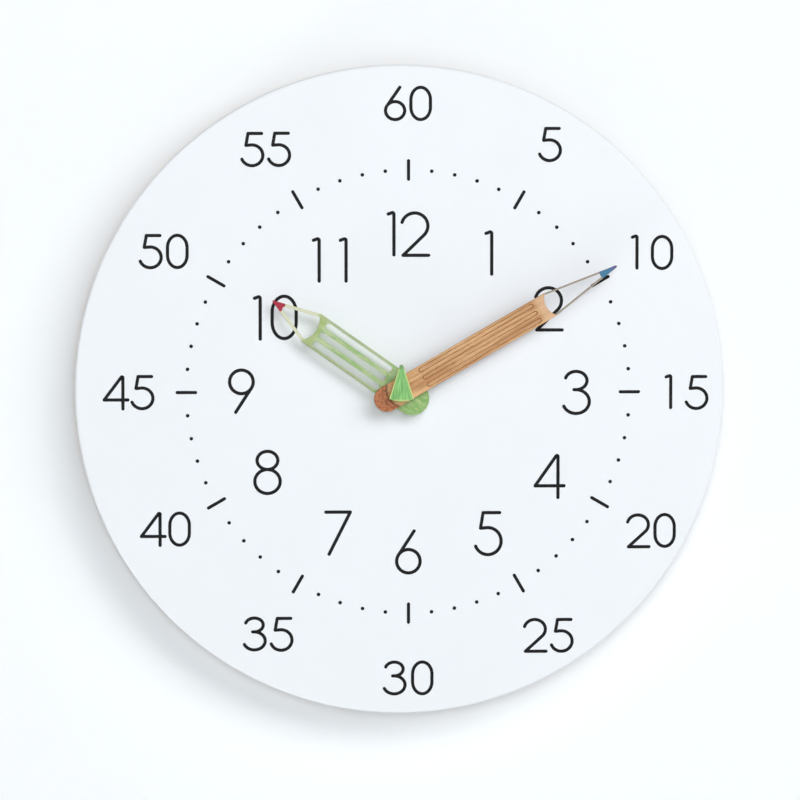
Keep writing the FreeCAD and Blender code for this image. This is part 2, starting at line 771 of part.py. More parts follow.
def hex_nut():
    body = new_body("hex_nut")
    outline = new_sketch(body, "outline", f"({BOARD_FRONT} + sizes.washer_thickness)")
    reach = "(sizes.nut_across_flats / sqrt(3))"
    corners = [(f"{reach} * cos({a})", f"{reach} * sin({a})") for a in range(0, 360, 60)]
    add_outline(outline, *corners)
    add_circle(outline, "(sizes.bushing_radius + sizes.seat_clearance)")
    pad(body, outline, "sizes.nut_thickness")
    return finish(body)


def threaded_bushing():
    body = new_body("threaded_bushing")
    flange_back = f"({INSIDE_FRONT} - sizes.bushing_flange)"
    flange = new_sketch(body, "flange", flange_back)
    half = "(sizes.bushing_flange_side / 2)"
    add_rectangle(flange, f"-{half}", half, f"-{half}", half)
    pad(body, flange, "sizes.bushing_flange")
    disc(body, "barrel", "sizes.bushing_radius", INSIDE_FRONT, f"{BUSHING_FRONT} - {INSIDE_FRONT}")
    bore(
        body,
        "tube_hole",
        "sizes.hour_tube_radius + sizes.running_clearance",
        BUSHING_FRONT,
        f"{BUSHING_FRONT} - {flange_back}",
    )
    return finish(body)


def rubber_gasket():
    """A square rubber pad between the movement and the board."""
    body = new_body("rubber_gasket")
    outline = new_sketch(body, "outline", CASE_FRONT)
    half = "(sizes.gasket_side / 2)"
    add_rectangle(outline, f"-{half}", half, f"-{half}", half)
    add_circle(outline, "(sizes.bushing_radius + sizes.hole_clearance)")
    pad(body, outline, "sizes.gasket_thickness")
    return finish(body)


def dial_washer():
    body = new_body("dial_washer")
    ring = new_sketch(body, "ring", BOARD_FRONT)
    add_circle(ring, "sizes.washer_radius")
    add_circle(ring, "(sizes.bushing_radius + sizes.hole_clearance)")
    pad(body, ring, "sizes.washer_thickness")
    return finish(body)


# Movement shell

PIN_HOLE = "(sizes.pin_radius + sizes.running_clearance)"
STEM_HOLE = "(sizes.stem_radius + sizes.running_clearance)"
POST_REACH = f"({INNER} - sizes.post_inset)"
POST_LOW = f"({DIVIDER_HIGH} + sizes.post_inset)"
POSTS = [(f"{s}1 * {POST_REACH}", z) for s in ("-", "") for z in (POST_LOW, POST_REACH)]


def add_square(sketch, side, place):
    x, z = place
    half = f"({side}) / 2"
    add_rectangle(sketch, f"({x} - {half})", f"({x} + {half})", f"({z} - {half})", f"({z} + {half})")


def add_pin(body, name, place, back, front):
    """A fixed pin that a wheel turns on."""
    pin_sketch = new_sketch(body, f"{name}_pin", back)
    add_circle(pin_sketch, "sizes.pin_radius", place)
    return pad(body, pin_sketch, f"{front} - {back}")


def front_case():
    body = new_body("front_case")
    half = "(sizes.case_side / 2)"
    shell = new_sketch(body, "shell", CASE_REAR)
    add_rounded(shell, half, half, "sizes.case_corner")
    pad(body, shell, CASE_DEPTH)
    rebate = new_sketch(body, "cover_seat", CASE_REAR)
    edge = f"({half} + 1)"
    add_rectangle(rebate, f"-{edge}", edge, DIVIDER_LOW, edge)
    pocket(body, rebate, "sizes.case_wall", from_back=True)
    train = new_sketch(body, "train_room", CASE_REAR)
    add_rectangle(train, f"-{INNER}", INNER, DIVIDER_HIGH, INNER)
    pocket(body, train, f"{INSIDE_FRONT} - {CASE_REAR}", from_back=True)
    battery = new_sketch(body, "battery_room", CASE_REAR)
    add_rectangle(battery, f"-{INNER}", INNER, f"-{INNER}", DIVIDER_LOW)
    pocket(body, battery, f"{INSIDE_FRONT} - {CASE_REAR}", from_back=True)
    for name, side in (("left", "-"), ("right", "")):
        passage = new_sketch(body, f"{name}_passage", CONTACT_BACK)
        outer = f"{side}1 * {INNER}"
        inner = f"{side}1 * ({INNER} - 2 * sizes.contact_thickness)"
        add_rectangle(passage, outer, inner, DIVIDER_LOW, DIVIDER_HIGH)
        pocket(body, passage, "sizes.contact_width", from_back=True)
    hole = "(sizes.bushing_radius + sizes.seat_clearance)"
    bore(body, "bushing_hole", hole, CASE_FRONT, "sizes.case_wall")
    for number, place in enumerate(POSTS, start=1):
        post = new_sketch(body, f"post_{number}", PLATE_FRONT)
        add_square(post, "sizes.post_side", place)
        pad(body, post, f"{INSIDE_FRONT} - {PLATE_FRONT}")
        peg = new_sketch(body, f"peg_{number}", f"({PLATE_REAR} - sizes.level_gap)")
        add_square(peg, "sizes.peg_side", place)
        pad(body, peg, "sizes.plate_thickness + sizes.level_gap")
    add_pin(body, "minute", MINUTE, f"({PLATE_FRONT} + sizes.pin_end)", INSIDE_FRONT)
    return finish(body)


def middle_plate():
    body = new_body("middle_plate")
    sheet_edge = f"({INNER} - sizes.plate_margin)"
    outline = new_sketch(body, "outline", PLATE_REAR)
    add_rectangle(
        outline,
        f"-{sheet_edge}",
        sheet_edge,
        f"({DIVIDER_HIGH} + sizes.plate_margin)",
        sheet_edge,
    )
    for place in POSTS:
        add_square(outline, "sizes.peg_side + 2 * sizes.fit_clearance", place)
    add_circle(outline, STEM_HOLE, SETTING)
    leaf_room = f"2 * ({third_leaves.tip_radius} + sizes.level_gap)"
    add_square(outline, leaf_room, THIRD)
    add_square(outline, "2 * (sizes.seconds_arbor_radius + sizes.level_gap)", AXIS)
    window = "(sizes.bobbin_side / 2 + sizes.level_gap)"
    add_rectangle(
        outline,
        f"({COIL_LEFT} - sizes.coil_gap / 2)",
        f"({COIL_RIGHT} + sizes.coil_gap / 2)",
        f"({CORE_MIDDLE} - {window})",
        f"({CORE_MIDDLE} + {window})",
    )
    pad(body, outline, "sizes.plate_thickness")
    return finish(body)


def rear_cover():
    body = new_body("rear_cover")
    half = "(sizes.case_side / 2)"
    inset = f"({half} - sizes.case_corner)"
    plate = new_sketch(body, "plate", CASE_REAR)
    add_outline(
        plate,
        (f"-{half}", DIVIDER_LOW),
        (half, DIVIDER_LOW),
        (half, inset, inset, inset),
        (inset, half),
        (f"-{inset}", half, f"-{inset}", inset),
        (f"-{half}", inset),
    )
    pad(body, plate, "sizes.case_wall")
    lip = new_sketch(body, "lip", INSIDE_REAR)
    outer = f"({INNER} - sizes.fit_clearance)"
    inner = f"({outer} - sizes.cover_lip)"
    low = f"({DIVIDER_HIGH} + sizes.fit_clearance)"
    add_rectangle(lip, f"-{outer}", outer, low, outer)
    add_rectangle(lip, f"-{inner}", inner, f"({low} + sizes.cover_lip)", inner)
    pad(body, lip, "sizes.cover_lip_height")
    block = new_sketch(body, "bearing_block", INSIDE_REAR)
    add_rectangle(
        block,
        f"({THIRD[0]} - sizes.bearing_margin)",
        f"({ROTOR[0]} + sizes.bearing_margin)",
        "(-sizes.bearing_margin)",
        f"({ROTOR[1]} + sizes.bearing_margin)",
    )
    pad(body, block, f"{BEARING_FRONT} - {INSIDE_REAR}")
    arbor_hole = "(sizes.seconds_arbor_radius + sizes.running_clearance)"
    depth = "sizes.pivot_depth + sizes.end_shake"
    bore(body, "seconds_pivot", arbor_hole, BEARING_FRONT, depth)
    for name, place, front in (
        ("third", THIRD, leaves_front(CENTRE_LEVEL)),
        ("intermediate", INTERMEDIATE, BEHIND_STATOR),
        ("rotor", ROTOR, MAGNET_BACK),
    ):
        add_pin(body, name, place, BEARING_FRONT, f"({front} - sizes.pin_end)")
    bore(body, "stem_hole", STEM_HOLE, INSIDE_REAR, "sizes.case_wall", SETTING)
    return finish(body)


# Battery and its contacts

BATTERY_HEIGHT = f"(sizes.battery_radius + sizes.battery_clearance - {INNER})"
BATTERY_FRONT = f"({INSIDE_FRONT} - sizes.battery_radius - sizes.battery_clearance)"
CONTACT_BACK = f"({INSIDE_FRONT} - sizes.battery_radius - sizes.contact_width / 2)"
BATTERY_LEFT = "(-(sizes.battery_length + sizes.battery_nub) / 2)"


def battery_cell():
    """A cylindrical cell that lies across the case, its nub to the right."""
    shapes = []
    for name, radius, length, left in (
        ("cell_can", "sizes.battery_radius", "sizes.battery_length", BATTERY_LEFT),
        (
            "cell_nub",
            "sizes.battery_nub_radius",
            "sizes.battery_nub",
            f"({BATTERY_LEFT} + sizes.battery_length)",
        ),
    ):
        shape = cylinder(name, radius, length)
        shape.Placement = FreeCAD.Placement(Vector(), FreeCAD.Rotation(Vector(0, 1, 0), 90))
        shape.setExpression("Placement.Base.x", left)
        shape.setExpression("Placement.Base.y", f"-{BATTERY_FRONT}")
        shape.setExpression("Placement.Base.z", BATTERY_HEIGHT)
        shapes.append(shape)
    return finish(joined("battery_cell", *shapes))


def strip(body, name, left, right, low, high, back=None, depth=None):
    """A flat run of a contact strip, seen edge on from the front."""
    run = new_sketch(body, name, back or CONTACT_BACK)
    add_rectangle(run, left, right, low, high)
    pad(body, run, depth or "sizes.contact_width")


def negative_contact():
    """Along the left wall from the cell to the circuit board, with a domed touch."""
    body = new_body("negative_contact")
    thick = "sizes.contact_thickness"
    wall = f"-{INNER}"
    strip(body, "wall_run", wall, f"({wall} + {thick})", f"({BATTERY_HEIGHT} - 4)", BOARD_TAB)
    touch = f"({BATTERY_LEFT} + {INNER})"
    strip(
        body,
        "touch",
        wall,
        f"({wall} + {touch})",
        f"({BATTERY_HEIGHT} - 1.5)",
        f"({BATTERY_HEIGHT} + 1.5)",
    )
    strip(
        body,
        "board_tab",
        wall,
        f"({CIRCUIT_LEFT} + 2 * sizes.contact_thickness)",
        f"({BOARD_TAB} - 3)",
        BOARD_TAB,
        f"({CIRCUIT_BACK} - {thick})",
        thick,
    )
    return finish(body)


def positive_contact():
    """Up the right wall from the nub, along the top wall and down to the circuit board."""
    body = new_body("positive_contact")
    thick = "sizes.contact_thickness"
    touch = f"({BATTERY_LEFT} + sizes.battery_length + sizes.battery_nub)"
    strip(body, "wall_run", f"({INNER} - {thick})", INNER, f"({BATTERY_HEIGHT} - 4)", INNER)
    strip(
        body,
        "touch",
        touch,
        INNER,
        f"({BATTERY_HEIGHT} - 1.5)",
        f"({BATTERY_HEIGHT} + 1.5)",
    )
    strip(body, "top_run", f"({CIRCUIT_LEFT} + 6)", INNER, f"({INNER} - {thick})", INNER)
    strip(
        body,
        "board_tab",
        f"({CIRCUIT_LEFT} + 6)",
        f"({CIRCUIT_LEFT} + 9)",
        f"({CIRCUIT_TOP} - 2)",
        INNER,
        f"({CIRCUIT_BACK} - {thick})",
        thick,
    )
    return finish(body)


# Stepping motor and circuit

CORE_MIDDLE = f"({ROTOR[1]} + sizes.core_height)"
STATOR_LEFT = f"({ROTOR[0]} - sizes.stator_left)"
STATOR_RIGHT = f"({STATOR_LEFT} + sizes.stator_span)"
COIL_LEFT = f"({STATOR_LEFT} + sizes.stator_arm_width + sizes.coil_gap)"
COIL_RIGHT = f"({STATOR_RIGHT} - sizes.stator_arm_width - sizes.coil_gap)"
STATOR_BACK = f"({PLATE_REAR} - sizes.stator_thickness)"
CORE_BACK = f"({STATOR_BACK} - sizes.stator_thickness)"
CORE_FRONT = f"({CORE_BACK} + sizes.stator_thickness / 2)"
CIRCUIT_BACK = f"({PLATE_REAR} - sizes.board_stock)"
CIRCUIT_LEFT = f"(sizes.plate_margin + sizes.level_gap - {INNER})"
CIRCUIT_TOP = f"({INNER} - sizes.plate_margin - sizes.level_gap)"
BOARD_TAB = f"({CIRCUIT_TOP} - sizes.board_height + 4)"


def stator_plate():
    """A soft iron plate round the rotor, with two arms up to the ends of the coil core."""
    body = new_body("stator_plate")
    ring = new_sketch(body, "ring", STATOR_BACK)
    add_circle(ring, "sizes.stator_ring_radius", ROTOR)
    pad(body, ring, "sizes.stator_thickness")
    top = f"({CORE_MIDDLE} + sizes.core_width / 2)"
    foot = f"({ROTOR[1]} - sizes.stator_arm_width / 2)"
    for name, left, right, low in (
        ("left_arm", STATOR_LEFT, f"({STATOR_LEFT} + sizes.stator_arm_width)", foot),
        ("right_arm", f"({STATOR_RIGHT} - sizes.stator_arm_width)", STATOR_RIGHT, foot),
    ):
        arm = new_sketch(body, name, STATOR_BACK)
        add_rectangle(arm, left, right, low, top)
        pad(body, arm, "sizes.stator_thickness")
    band = new_sketch(body, "band", STATOR_BACK)
    add_rectangle(
        band,
        STATOR_LEFT,
        STATOR_RIGHT,
        foot,
        f"({ROTOR[1]} + sizes.stator_arm_width)",
    )
    pad(body, band, "sizes.stator_thickness")
    bore(
        body,
        "rotor_hole",
        "sizes.stator_hole_radius",
        f"({STATOR_BACK} + sizes.stator_thickness)",
        "sizes.stator_thickness",
        ROTOR,
    )
    return finish(body)


def coil_core():
    body = new_body("coil_core")
    bar = new_sketch(body, "bar", CORE_BACK)
    add_rectangle(
        bar,
        STATOR_LEFT,
        STATOR_RIGHT,
        f"({CORE_MIDDLE} - sizes.core_width / 2)",
        f"({CORE_MIDDLE} + sizes.core_width / 2)",
    )
    pad(body, bar, "sizes.stator_thickness")
    return finish(body)


def lying_bar(name, left, right, half_side):
    """A square bar along X round the coil core."""
    bar = document.addObject("Part::Box", name)
    bar.setExpression("Length", f"{right} - {left}")
    bar.setExpression("Width", f"2 * {half_side}")
    bar.setExpression("Height", f"2 * {half_side}")
    bar.setExpression("Placement.Base.x", left)
    bar.setExpression("Placement.Base.y", f"-({CORE_FRONT} + {half_side})")
    bar.setExpression("Placement.Base.z", f"{CORE_MIDDLE} - {half_side}")
    return bar


BARREL_HALF = "(sizes.core_width / 2 + sizes.bobbin_wall)"


def coil_bobbin():
    """A square barrel with two square flanges and a flat hole for the core."""
    flange = "sizes.bobbin_flange"
    half = "(sizes.bobbin_side / 2)"
    barrel = lying_bar("bobbin_barrel", COIL_LEFT, COIL_RIGHT, BARREL_HALF)
    left = lying_bar("bobbin_left", COIL_LEFT, f"({COIL_LEFT} + {flange})", half)
    right = lying_bar("bobbin_right", f"({COIL_RIGHT} - {flange})", COIL_RIGHT, half)
    hole = document.addObject("Part::Box", "bobbin_hole")
    hole.setExpression("Length", f"{COIL_RIGHT} - {COIL_LEFT}")
    hole.setExpression("Width", "sizes.stator_thickness")
    hole.setExpression("Height", "sizes.core_width")
    hole.setExpression("Placement.Base.x", COIL_LEFT)
    hole.setExpression("Placement.Base.y", f"-({CORE_BACK} + sizes.stator_thickness)")
    hole.setExpression("Placement.Base.z", f"{CORE_MIDDLE} - sizes.core_width / 2")
    return finish(less("coil_bobbin", joined("bobbin_blank", barrel, left, right), hole))


def coil_winding():
    left = f"({COIL_LEFT} + sizes.bobbin_flange)"
    right = f"({COIL_RIGHT} - sizes.bobbin_flange)"
    outside = cylinder("winding_outside", "sizes.winding_radius", f"{right} - {left}")
    outside.Placement = FreeCAD.Placement(Vector(), FreeCAD.Rotation(Vector(0, 1, 0), 90))
    outside.setExpression("Placement.Base.x", left)
    outside.setExpression("Placement.Base.y", f"-{CORE_FRONT}")
    outside.setExpression("Placement.Base.z", CORE_MIDDLE)
    inside = lying_bar("winding_inside", left, right, BARREL_HALF)
    return finish(less("coil_winding", outside, inside))


def circuit_board():
    body = new_body("circuit_board")
    sheet_outline = new_sketch(body, "outline", CIRCUIT_BACK)
    add_rectangle(
        sheet_outline,
        CIRCUIT_LEFT,
        f"({CIRCUIT_LEFT} + sizes.board_length)",
        f"({CIRCUIT_TOP} - sizes.board_height)",
        CIRCUIT_TOP,
    )
    corner = (f"-1 * {POST_REACH}", POST_REACH)
    add_square(sheet_outline, "sizes.peg_side + 2 * sizes.fit_clearance", corner)
    pad(body, sheet_outline, "sizes.board_stock")
    return finish(body)


def clock_chip():
    chip = document.addObject("Part::Box", "clock_chip")
    chip.setExpression("Length", "sizes.chip_side")
    chip.setExpression("Width", "sizes.chip_height")
    chip.setExpression("Height", "sizes.chip_side")
    left = f"({CIRCUIT_LEFT} + sizes.board_length - 1.5 * sizes.chip_side)"
    chip.setExpression("Placement.Base.x", left)
    chip.setExpression("Placement.Base.y", f"-{CIRCUIT_BACK}")
    low = f"({CIRCUIT_TOP} - sizes.board_height + sizes.level_gap)"
    chip.setExpression("Placement.Base.z", low)
    return finish(chip)


def quartz_crystal():
    """A small can that lies on the circuit board."""
    can = cylinder("quartz_crystal", "sizes.crystal_radius", "sizes.crystal_length")
    can.Placement = FreeCAD.Placement(Vector(), FreeCAD.Rotation(Vector(0, 1, 0), 90))
    can.setExpression(
        "Placement.Base.x", f"{CIRCUIT_LEFT} + sizes.board_length - sizes.crystal_length - 1"
    )
    can.setExpression("Placement.Base.y", f"-({CIRCUIT_BACK} - sizes.crystal_radius)")
    can.setExpression("Placement.Base.z", f"{CIRCUIT_TOP} - 2 * sizes.crystal_radius")
    return finish(can)


# Going train and motion work

def rotor_magnet():
    body = new_body("rotor_magnet")
    disc(body, "disc", "sizes.magnet_radius", MAGNET_BACK, "sizes.magnet_length")
    stand(body, ROTOR)
    return finish(body)


def rotor_pinion():
    return gear_piece(
        "rotor_pinion",
        rings=[("leaves", rotor_leaves, LEAVES_REAR_END, MAGNET_BACK)],
        shafts=[],
        holes=[("pin_hole", PIN_HOLE, LEAVES_REAR_END, MAGNET_BACK)],
        place=ROTOR,
    )


def intermediate_wheel():
    """Its leaves run up to the stator plate."""
    front = wheel_front(INTERMEDIATE_LEVEL)
    return gear_piece(
        "intermediate_wheel",
        rings=[
            ("wheel", intermediate_teeth, INTERMEDIATE_LEVEL, front),
            ("leaves", intermediate_leaves, front, BEHIND_STATOR),
        ],
        shafts=[],
        holes=[("pin_hole", PIN_HOLE, INTERMEDIATE_LEVEL, BEHIND_STATOR)],
        place=INTERMEDIATE,
    )


def third_wheel():
    """The wheel on a long pinion that runs from the rear bearing through the plate."""
    front = leaves_front(CENTRE_LEVEL)
    back = wheel_front(THIRD_LEVEL)
    return gear_piece(
        "third_wheel",
        rings=[
            ("wheel", third_teeth, THIRD_LEVEL, back),
            ("front_leaves", third_leaves, back, front),
            ("rear_leaves", third_leaves, LEAVES_REAR_END, THIRD_LEVEL),
        ],
        shafts=[],
        holes=[("pin_hole", PIN_HOLE, LEAVES_REAR_END, front)],
        place=THIRD,
    )


def seconds_wheel():
    """The wheel, its pinion and the long arbor that carries the second pointer."""
    front = wheel_front(SECONDS_LEVEL)
    tip = f"({POINTER_BACK} + sizes.pointer_thickness / 2)"
    rear = f"({BEARING_FRONT} - sizes.pivot_depth)"
    return gear_piece(
        "seconds_wheel",
        rings=[
            ("wheel", seconds_teeth, SECONDS_LEVEL, front),
            ("leaves", seconds_leaves, front, leaves_front(THIRD_LEVEL)),
        ],
        shafts=[("arbor", "sizes.seconds_arbor_radius", rear, tip)],
    )


def centre_wheel():
    """Grips the cannon pinion's stub by friction, so that the hands can be set."""
    front = wheel_front(CENTRE_LEVEL)
    hole = "(sizes.cannon_stub_radius + sizes.running_clearance)"
    return gear_piece(
        "centre_wheel",
        rings=[("wheel", centre_teeth, CENTRE_LEVEL, front)],
        shafts=[],
        holes=[("stub_hole", hole, CENTRE_LEVEL, front)],
    )


def cannon_pinion():
    """The pinion with the tube that carries the minute hand."""
    rear = leaves_back(CENTRE_LEVEL)
    back, front = leaves_back(MINUTE_LEVEL), leaves_front(MINUTE_LEVEL)
    hole = "(sizes.seconds_arbor_radius + sizes.running_clearance)"
    return gear_piece(
        "cannon_pinion",
        rings=[("leaves", cannon_teeth, back, front)],
        shafts=[
            ("tube", "sizes.cannon_tube_radius", front, MINUTE_HAND_FRONT),
            ("stub", "sizes.cannon_stub_radius", rear, back),
        ],
        holes=[("arbor_hole", hole, rear, MINUTE_HAND_FRONT)],
    )


def hour_wheel():
    """The wheel with the tube that carries the hour hand."""
    front = wheel_front(HOUR_LEVEL)
    hole = "(sizes.cannon_tube_radius + sizes.running_clearance)"
    return gear_piece(
        "hour_wheel",
        rings=[("wheel", hour_teeth, HOUR_LEVEL, front)],
        shafts=[("tube", "sizes.hour_tube_radius", front, HOUR_HAND_FRONT)],
        holes=[("cannon_hole", hole, HOUR_LEVEL, HOUR_HAND_FRONT)],
    )


def minute_wheel():
    front = wheel_front(MINUTE_LEVEL)
    tip = f"({INSIDE_FRONT} - sizes.end_shake)"
    rear = f"({PLATE_FRONT} + sizes.end_shake)"
    return gear_piece(
        "minute_wheel",
        rings=[
            ("wheel", minute_teeth, MINUTE_LEVEL, front),
            ("leaves", minute_leaves, front, tip),
        ],
        shafts=[("hub", "sizes.minute_hub_radius", rear, MINUTE_LEVEL)],
        holes=[("pin_hole", PIN_HOLE, rear, tip)],
        place=MINUTE,
    )


def setting_stem():
    back = f"({CASE_REAR} - sizes.knob_gap)"
    leaves = leaves_back(MINUTE_LEVEL)
    return gear_piece(
        "setting_stem",
        rings=[("leaves", setting_teeth, leaves, leaves_front(MINUTE_LEVEL))],
        shafts=[("stem", "sizes.stem_radius", back, leaves)],
        place=SETTING,
    )


def setting_knob():
    """A low knob behind the rear cover, with notches for the finger."""
    body = new_body("setting_knob")
    back = f"({CASE_REAR} - sizes.knob_gap - sizes.knob_thickness)"
    disc(body, "grip", "sizes.knob_radius", back, "sizes.knob_thickness")
    notch = new_sketch(body, "notch", f"({back} + sizes.knob_thickness)")
    depth = "sizes.knob_notch_depth"
    add_outline(
        notch,
        ("0", f"(sizes.knob_radius - {depth})"),
        (depth, f"(sizes.knob_radius + {depth})"),
        (f"-{depth}", f"(sizes.knob_radius + {depth})"),
    )
    cut = pocket(body, notch, "sizes.knob_thickness")
    repeat(body, cut, notch, "sizes.knob_notches")
    stand(body, SETTING)
    return finish(body)


# Hands, drawn pointing at 12 and turned to the time that the clock shows

def turn_to(body, shown):
    body.Placement = FreeCAD.Placement(Vector(), FreeCAD.Rotation(Vector(0, 1, 0), 1))
    body.setExpression("Placement.Rotation.Angle", shown)


class Hand:
    """Sizes of one of the two pencil-shaped hands, as expressions."""

    def __init__(self, name):
        self.half = f"({size(name + '_hand_width')} / 2)"
        self.reach = size(name + "_hand_reach")
        self.tail = size(name + "_hand_tail")
        self.shoulder = size(name + "_hand_shoulder")
        self.collar = size(name + "_hand_collar")
        self.strut = size(name + "_strut")
        self.point = size(name + "_point_length")
        taper = f"(({self.reach} - {self.shoulder}) / {self.half})"
        slant = f"sqrt(1 + {taper} * {taper})"
        self.inside = f"({self.reach} - {self.strut} * {slant})"
        self.taper = taper

    def outline(self, sketch):
        """A round tail, straight sides and a straight taper to the point."""
        tail_top = f"({self.half} - {self.tail})"
        add_outline(
            sketch,
            (f"-{self.half}", tail_top, "0", tail_top),
            (self.half, tail_top),
            (self.half, self.shoulder),
            ("0", self.reach),
            (f"-{self.half}", self.shoulder),
        )

    def open_end(self, sketch):
        """The hollow of the sharpened end: a curved collar, two struts and a blunt top."""
        low = self.shoulder
        high = f"({self.reach} - {self.point})"
        low_half = f"(({self.inside} - {low}) / {self.taper})"
        high_half = f"(({self.inside} - {high}) / {self.taper})"
        radius = f"(({low_half} * {low_half} / {self.collar} + {self.collar}) / 2)"
        add_outline(
            sketch,
            (f"-{low_half}", low, "0", f"({low} - {self.collar} + {radius})"),
            (low_half, low),
            (high_half, high),
            (f"-{high_half}", high),
        )


def hand_hole(body, tube_radius, front):
    """The hand is pressed on the tube that turns it."""
    bore(body, "tube_hole", f"({tube_radius} + sizes.seat_clearance)", front, "sizes.hand_thickness")


def hour_hand():
    body = new_body("hour_hand")
    hand = Hand("hour")
    blank = new_sketch(body, "outline", HOUR_HAND_BACK)
    hand.outline(blank)
    pad(body, blank, "sizes.hand_thickness")
    openings = new_sketch(body, "open_end", HOUR_HAND_FRONT)
    hand.open_end(openings)
    pocket(body, openings, "sizes.hand_thickness")
    slots = new_sketch(body, "slots", HOUR_HAND_FRONT)
    for column in (-1, 0, 1):
        add_slot(
            slots,
            "(sizes.hour_slot_width / 2)",
            "sizes.hour_slot_start",
            "sizes.hour_slot_end",
            f"({column} * sizes.hour_slot_pitch)",
        )
    pocket(body, slots, "sizes.hand_thickness")
    hand_hole(body, "sizes.hour_tube_radius", HOUR_HAND_FRONT)
    turn_to(body, "sizes.hour_hand_shown")
    return finish(body)


def minute_hand():
    body = new_body("minute_hand")
    hand = Hand("minute")
    blank = new_sketch(body, "outline", MINUTE_HAND_BACK)
    hand.outline(blank)
    pad(body, blank, "sizes.hand_thickness")
    openings = new_sketch(body, "open_end", MINUTE_HAND_FRONT)
    hand.open_end(openings)
    pocket(body, openings, "sizes.hand_thickness")
    hand_hole(body, "sizes.cannon_tube_radius", MINUTE_HAND_FRONT)
    turn_to(body, "sizes.minute_hand_shown")
    return finish(body)


def second_pointer():
    """A short sharpened pencil end over the middle of the dial."""
    body = new_body("second_pointer")
    half = "(sizes.pointer_width / 2)"
    tip = "(sizes.pointer_tip_width / 2)"
    sag = "(sizes.pointer_drop - sizes.pointer_shoulder)"
    radius = f"(({half} * {half} / {sag} + {sag}) / 2)"
    outline = new_sketch(body, "outline", POINTER_BACK)
    add_outline(
        outline,
        (f"-{half}", "-sizes.pointer_shoulder", "0", f"({radius} - sizes.pointer_drop)"),
        (half, "-sizes.pointer_shoulder"),
        (tip, f"(sizes.pointer_rise - {tip})", "0", f"(sizes.pointer_rise - {tip})"),
        (f"-{tip}", f"(sizes.pointer_rise - {tip})"),
    )
    pad(body, outline, "sizes.pointer_thickness")
    socket = new_sketch(body, "arbor_socket", POINTER_BACK)
    add_circle(socket, "(sizes.seconds_arbor_radius + sizes.seat_clearance)")
    pocket(body, socket, "sizes.pointer_thickness / 2", from_back=True)
    return finish(body)


dial_board()
hanger_plate()
hanger_screws()
wall_bumpers()
rubber_gasket()
dial_washer()
hex_nut()
threaded_bushing()
front_case()
middle_plate()
rear_cover()
battery_cell()
negative_contact()
positive_contact()
stator_plate()
coil_core()
coil_bobbin()
coil_winding()
circuit_board()
clock_chip()
quartz_crystal()
rotor_magnet()
rotor_pinion()
intermediate_wheel()
third_wheel()
seconds_wheel()
centre_wheel()
cannon_pinion()
hour_wheel()
minute_wheel()
setting_stem()
setting_knob()
hour_hand()
minute_hand()
second_pointer()
document.recompute()

for thing in document.Objects:
    if "Invalid" in thing.State or "Error" in thing.State:
        raise RuntimeError(f"{thing.Name} could not be worked out: {thing.State}")
for node in finished:
    if node.Shape.isNull() or not node.Shape.isValid() or not node.Shape.Solids:
        raise RuntimeError(f"{node.Label} has no sound solid")

os.makedirs("parts", exist_ok=True)
for node in finished:
    node.Shape.exportStep(f"parts/{node.Label}.step")
    print(node.Label, len(node.Shape.Solids), round(node.Shape.Volume, 1), "mm3")
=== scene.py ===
import json
import math

import bmesh
import bpy
from bpy.props import FloatProperty, FloatVectorProperty, PointerProperty
from mathutils import Matrix, Vector

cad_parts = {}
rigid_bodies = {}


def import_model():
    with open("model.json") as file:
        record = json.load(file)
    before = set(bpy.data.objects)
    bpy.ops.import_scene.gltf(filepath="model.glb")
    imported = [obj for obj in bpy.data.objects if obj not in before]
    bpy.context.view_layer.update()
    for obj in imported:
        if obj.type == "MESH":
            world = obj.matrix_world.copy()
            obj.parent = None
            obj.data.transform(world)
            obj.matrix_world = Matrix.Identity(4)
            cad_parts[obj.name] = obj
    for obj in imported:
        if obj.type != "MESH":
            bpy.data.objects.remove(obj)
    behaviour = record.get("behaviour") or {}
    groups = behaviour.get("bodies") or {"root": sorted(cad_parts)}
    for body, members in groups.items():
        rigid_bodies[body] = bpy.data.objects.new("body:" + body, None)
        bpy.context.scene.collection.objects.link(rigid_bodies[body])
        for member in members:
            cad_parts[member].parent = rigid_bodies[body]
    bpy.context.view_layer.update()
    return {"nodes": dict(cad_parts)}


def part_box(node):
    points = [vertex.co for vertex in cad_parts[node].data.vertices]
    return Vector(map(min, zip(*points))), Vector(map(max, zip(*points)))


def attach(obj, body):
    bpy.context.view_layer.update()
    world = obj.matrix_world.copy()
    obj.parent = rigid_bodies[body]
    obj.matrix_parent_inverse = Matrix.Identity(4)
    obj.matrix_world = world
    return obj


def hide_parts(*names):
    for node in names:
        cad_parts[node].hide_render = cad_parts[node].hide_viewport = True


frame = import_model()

bl_info = {
    "name": "Teaching Wall Clock",
    "version": (1, 0, 0),
    "blender": (4, 5, 0),
    "location": "View3D > Sidebar > Clock",
    "description": "Dresses a teaching wall clock: board, dial print, pencil hands, movement and studio",
    "category": "Object",
}

MM = 0.001


def levels(node):
    """How far the back and the front of a node stand off the wall."""
    low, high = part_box(node)
    return -high.y, -low.y


def spread_of(node):
    """Middle of a node across and up, and half its width and height."""
    low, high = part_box(node)
    return (low.x + high.x) / 2, (low.z + high.z) / 2, (high.x - low.x) / 2, (high.z - low.z) / 2


# Sizes and colours a user may change


def paint(*screen):
    """A colour as a screen shows it, 0 to 255, turned into the linear values that light works on."""
    parts = [part / 255 for part in screen]
    return tuple(part / 12.92 if part <= 0.04045 else ((part + 0.055) / 1.055) ** 2.4 for part in parts)


def length(name, description, millimetres):
    kind = {"subtype": "DISTANCE", "unit": "LENGTH"}
    return FloatProperty(name=name, description=description, default=millimetres * MM, **kind)


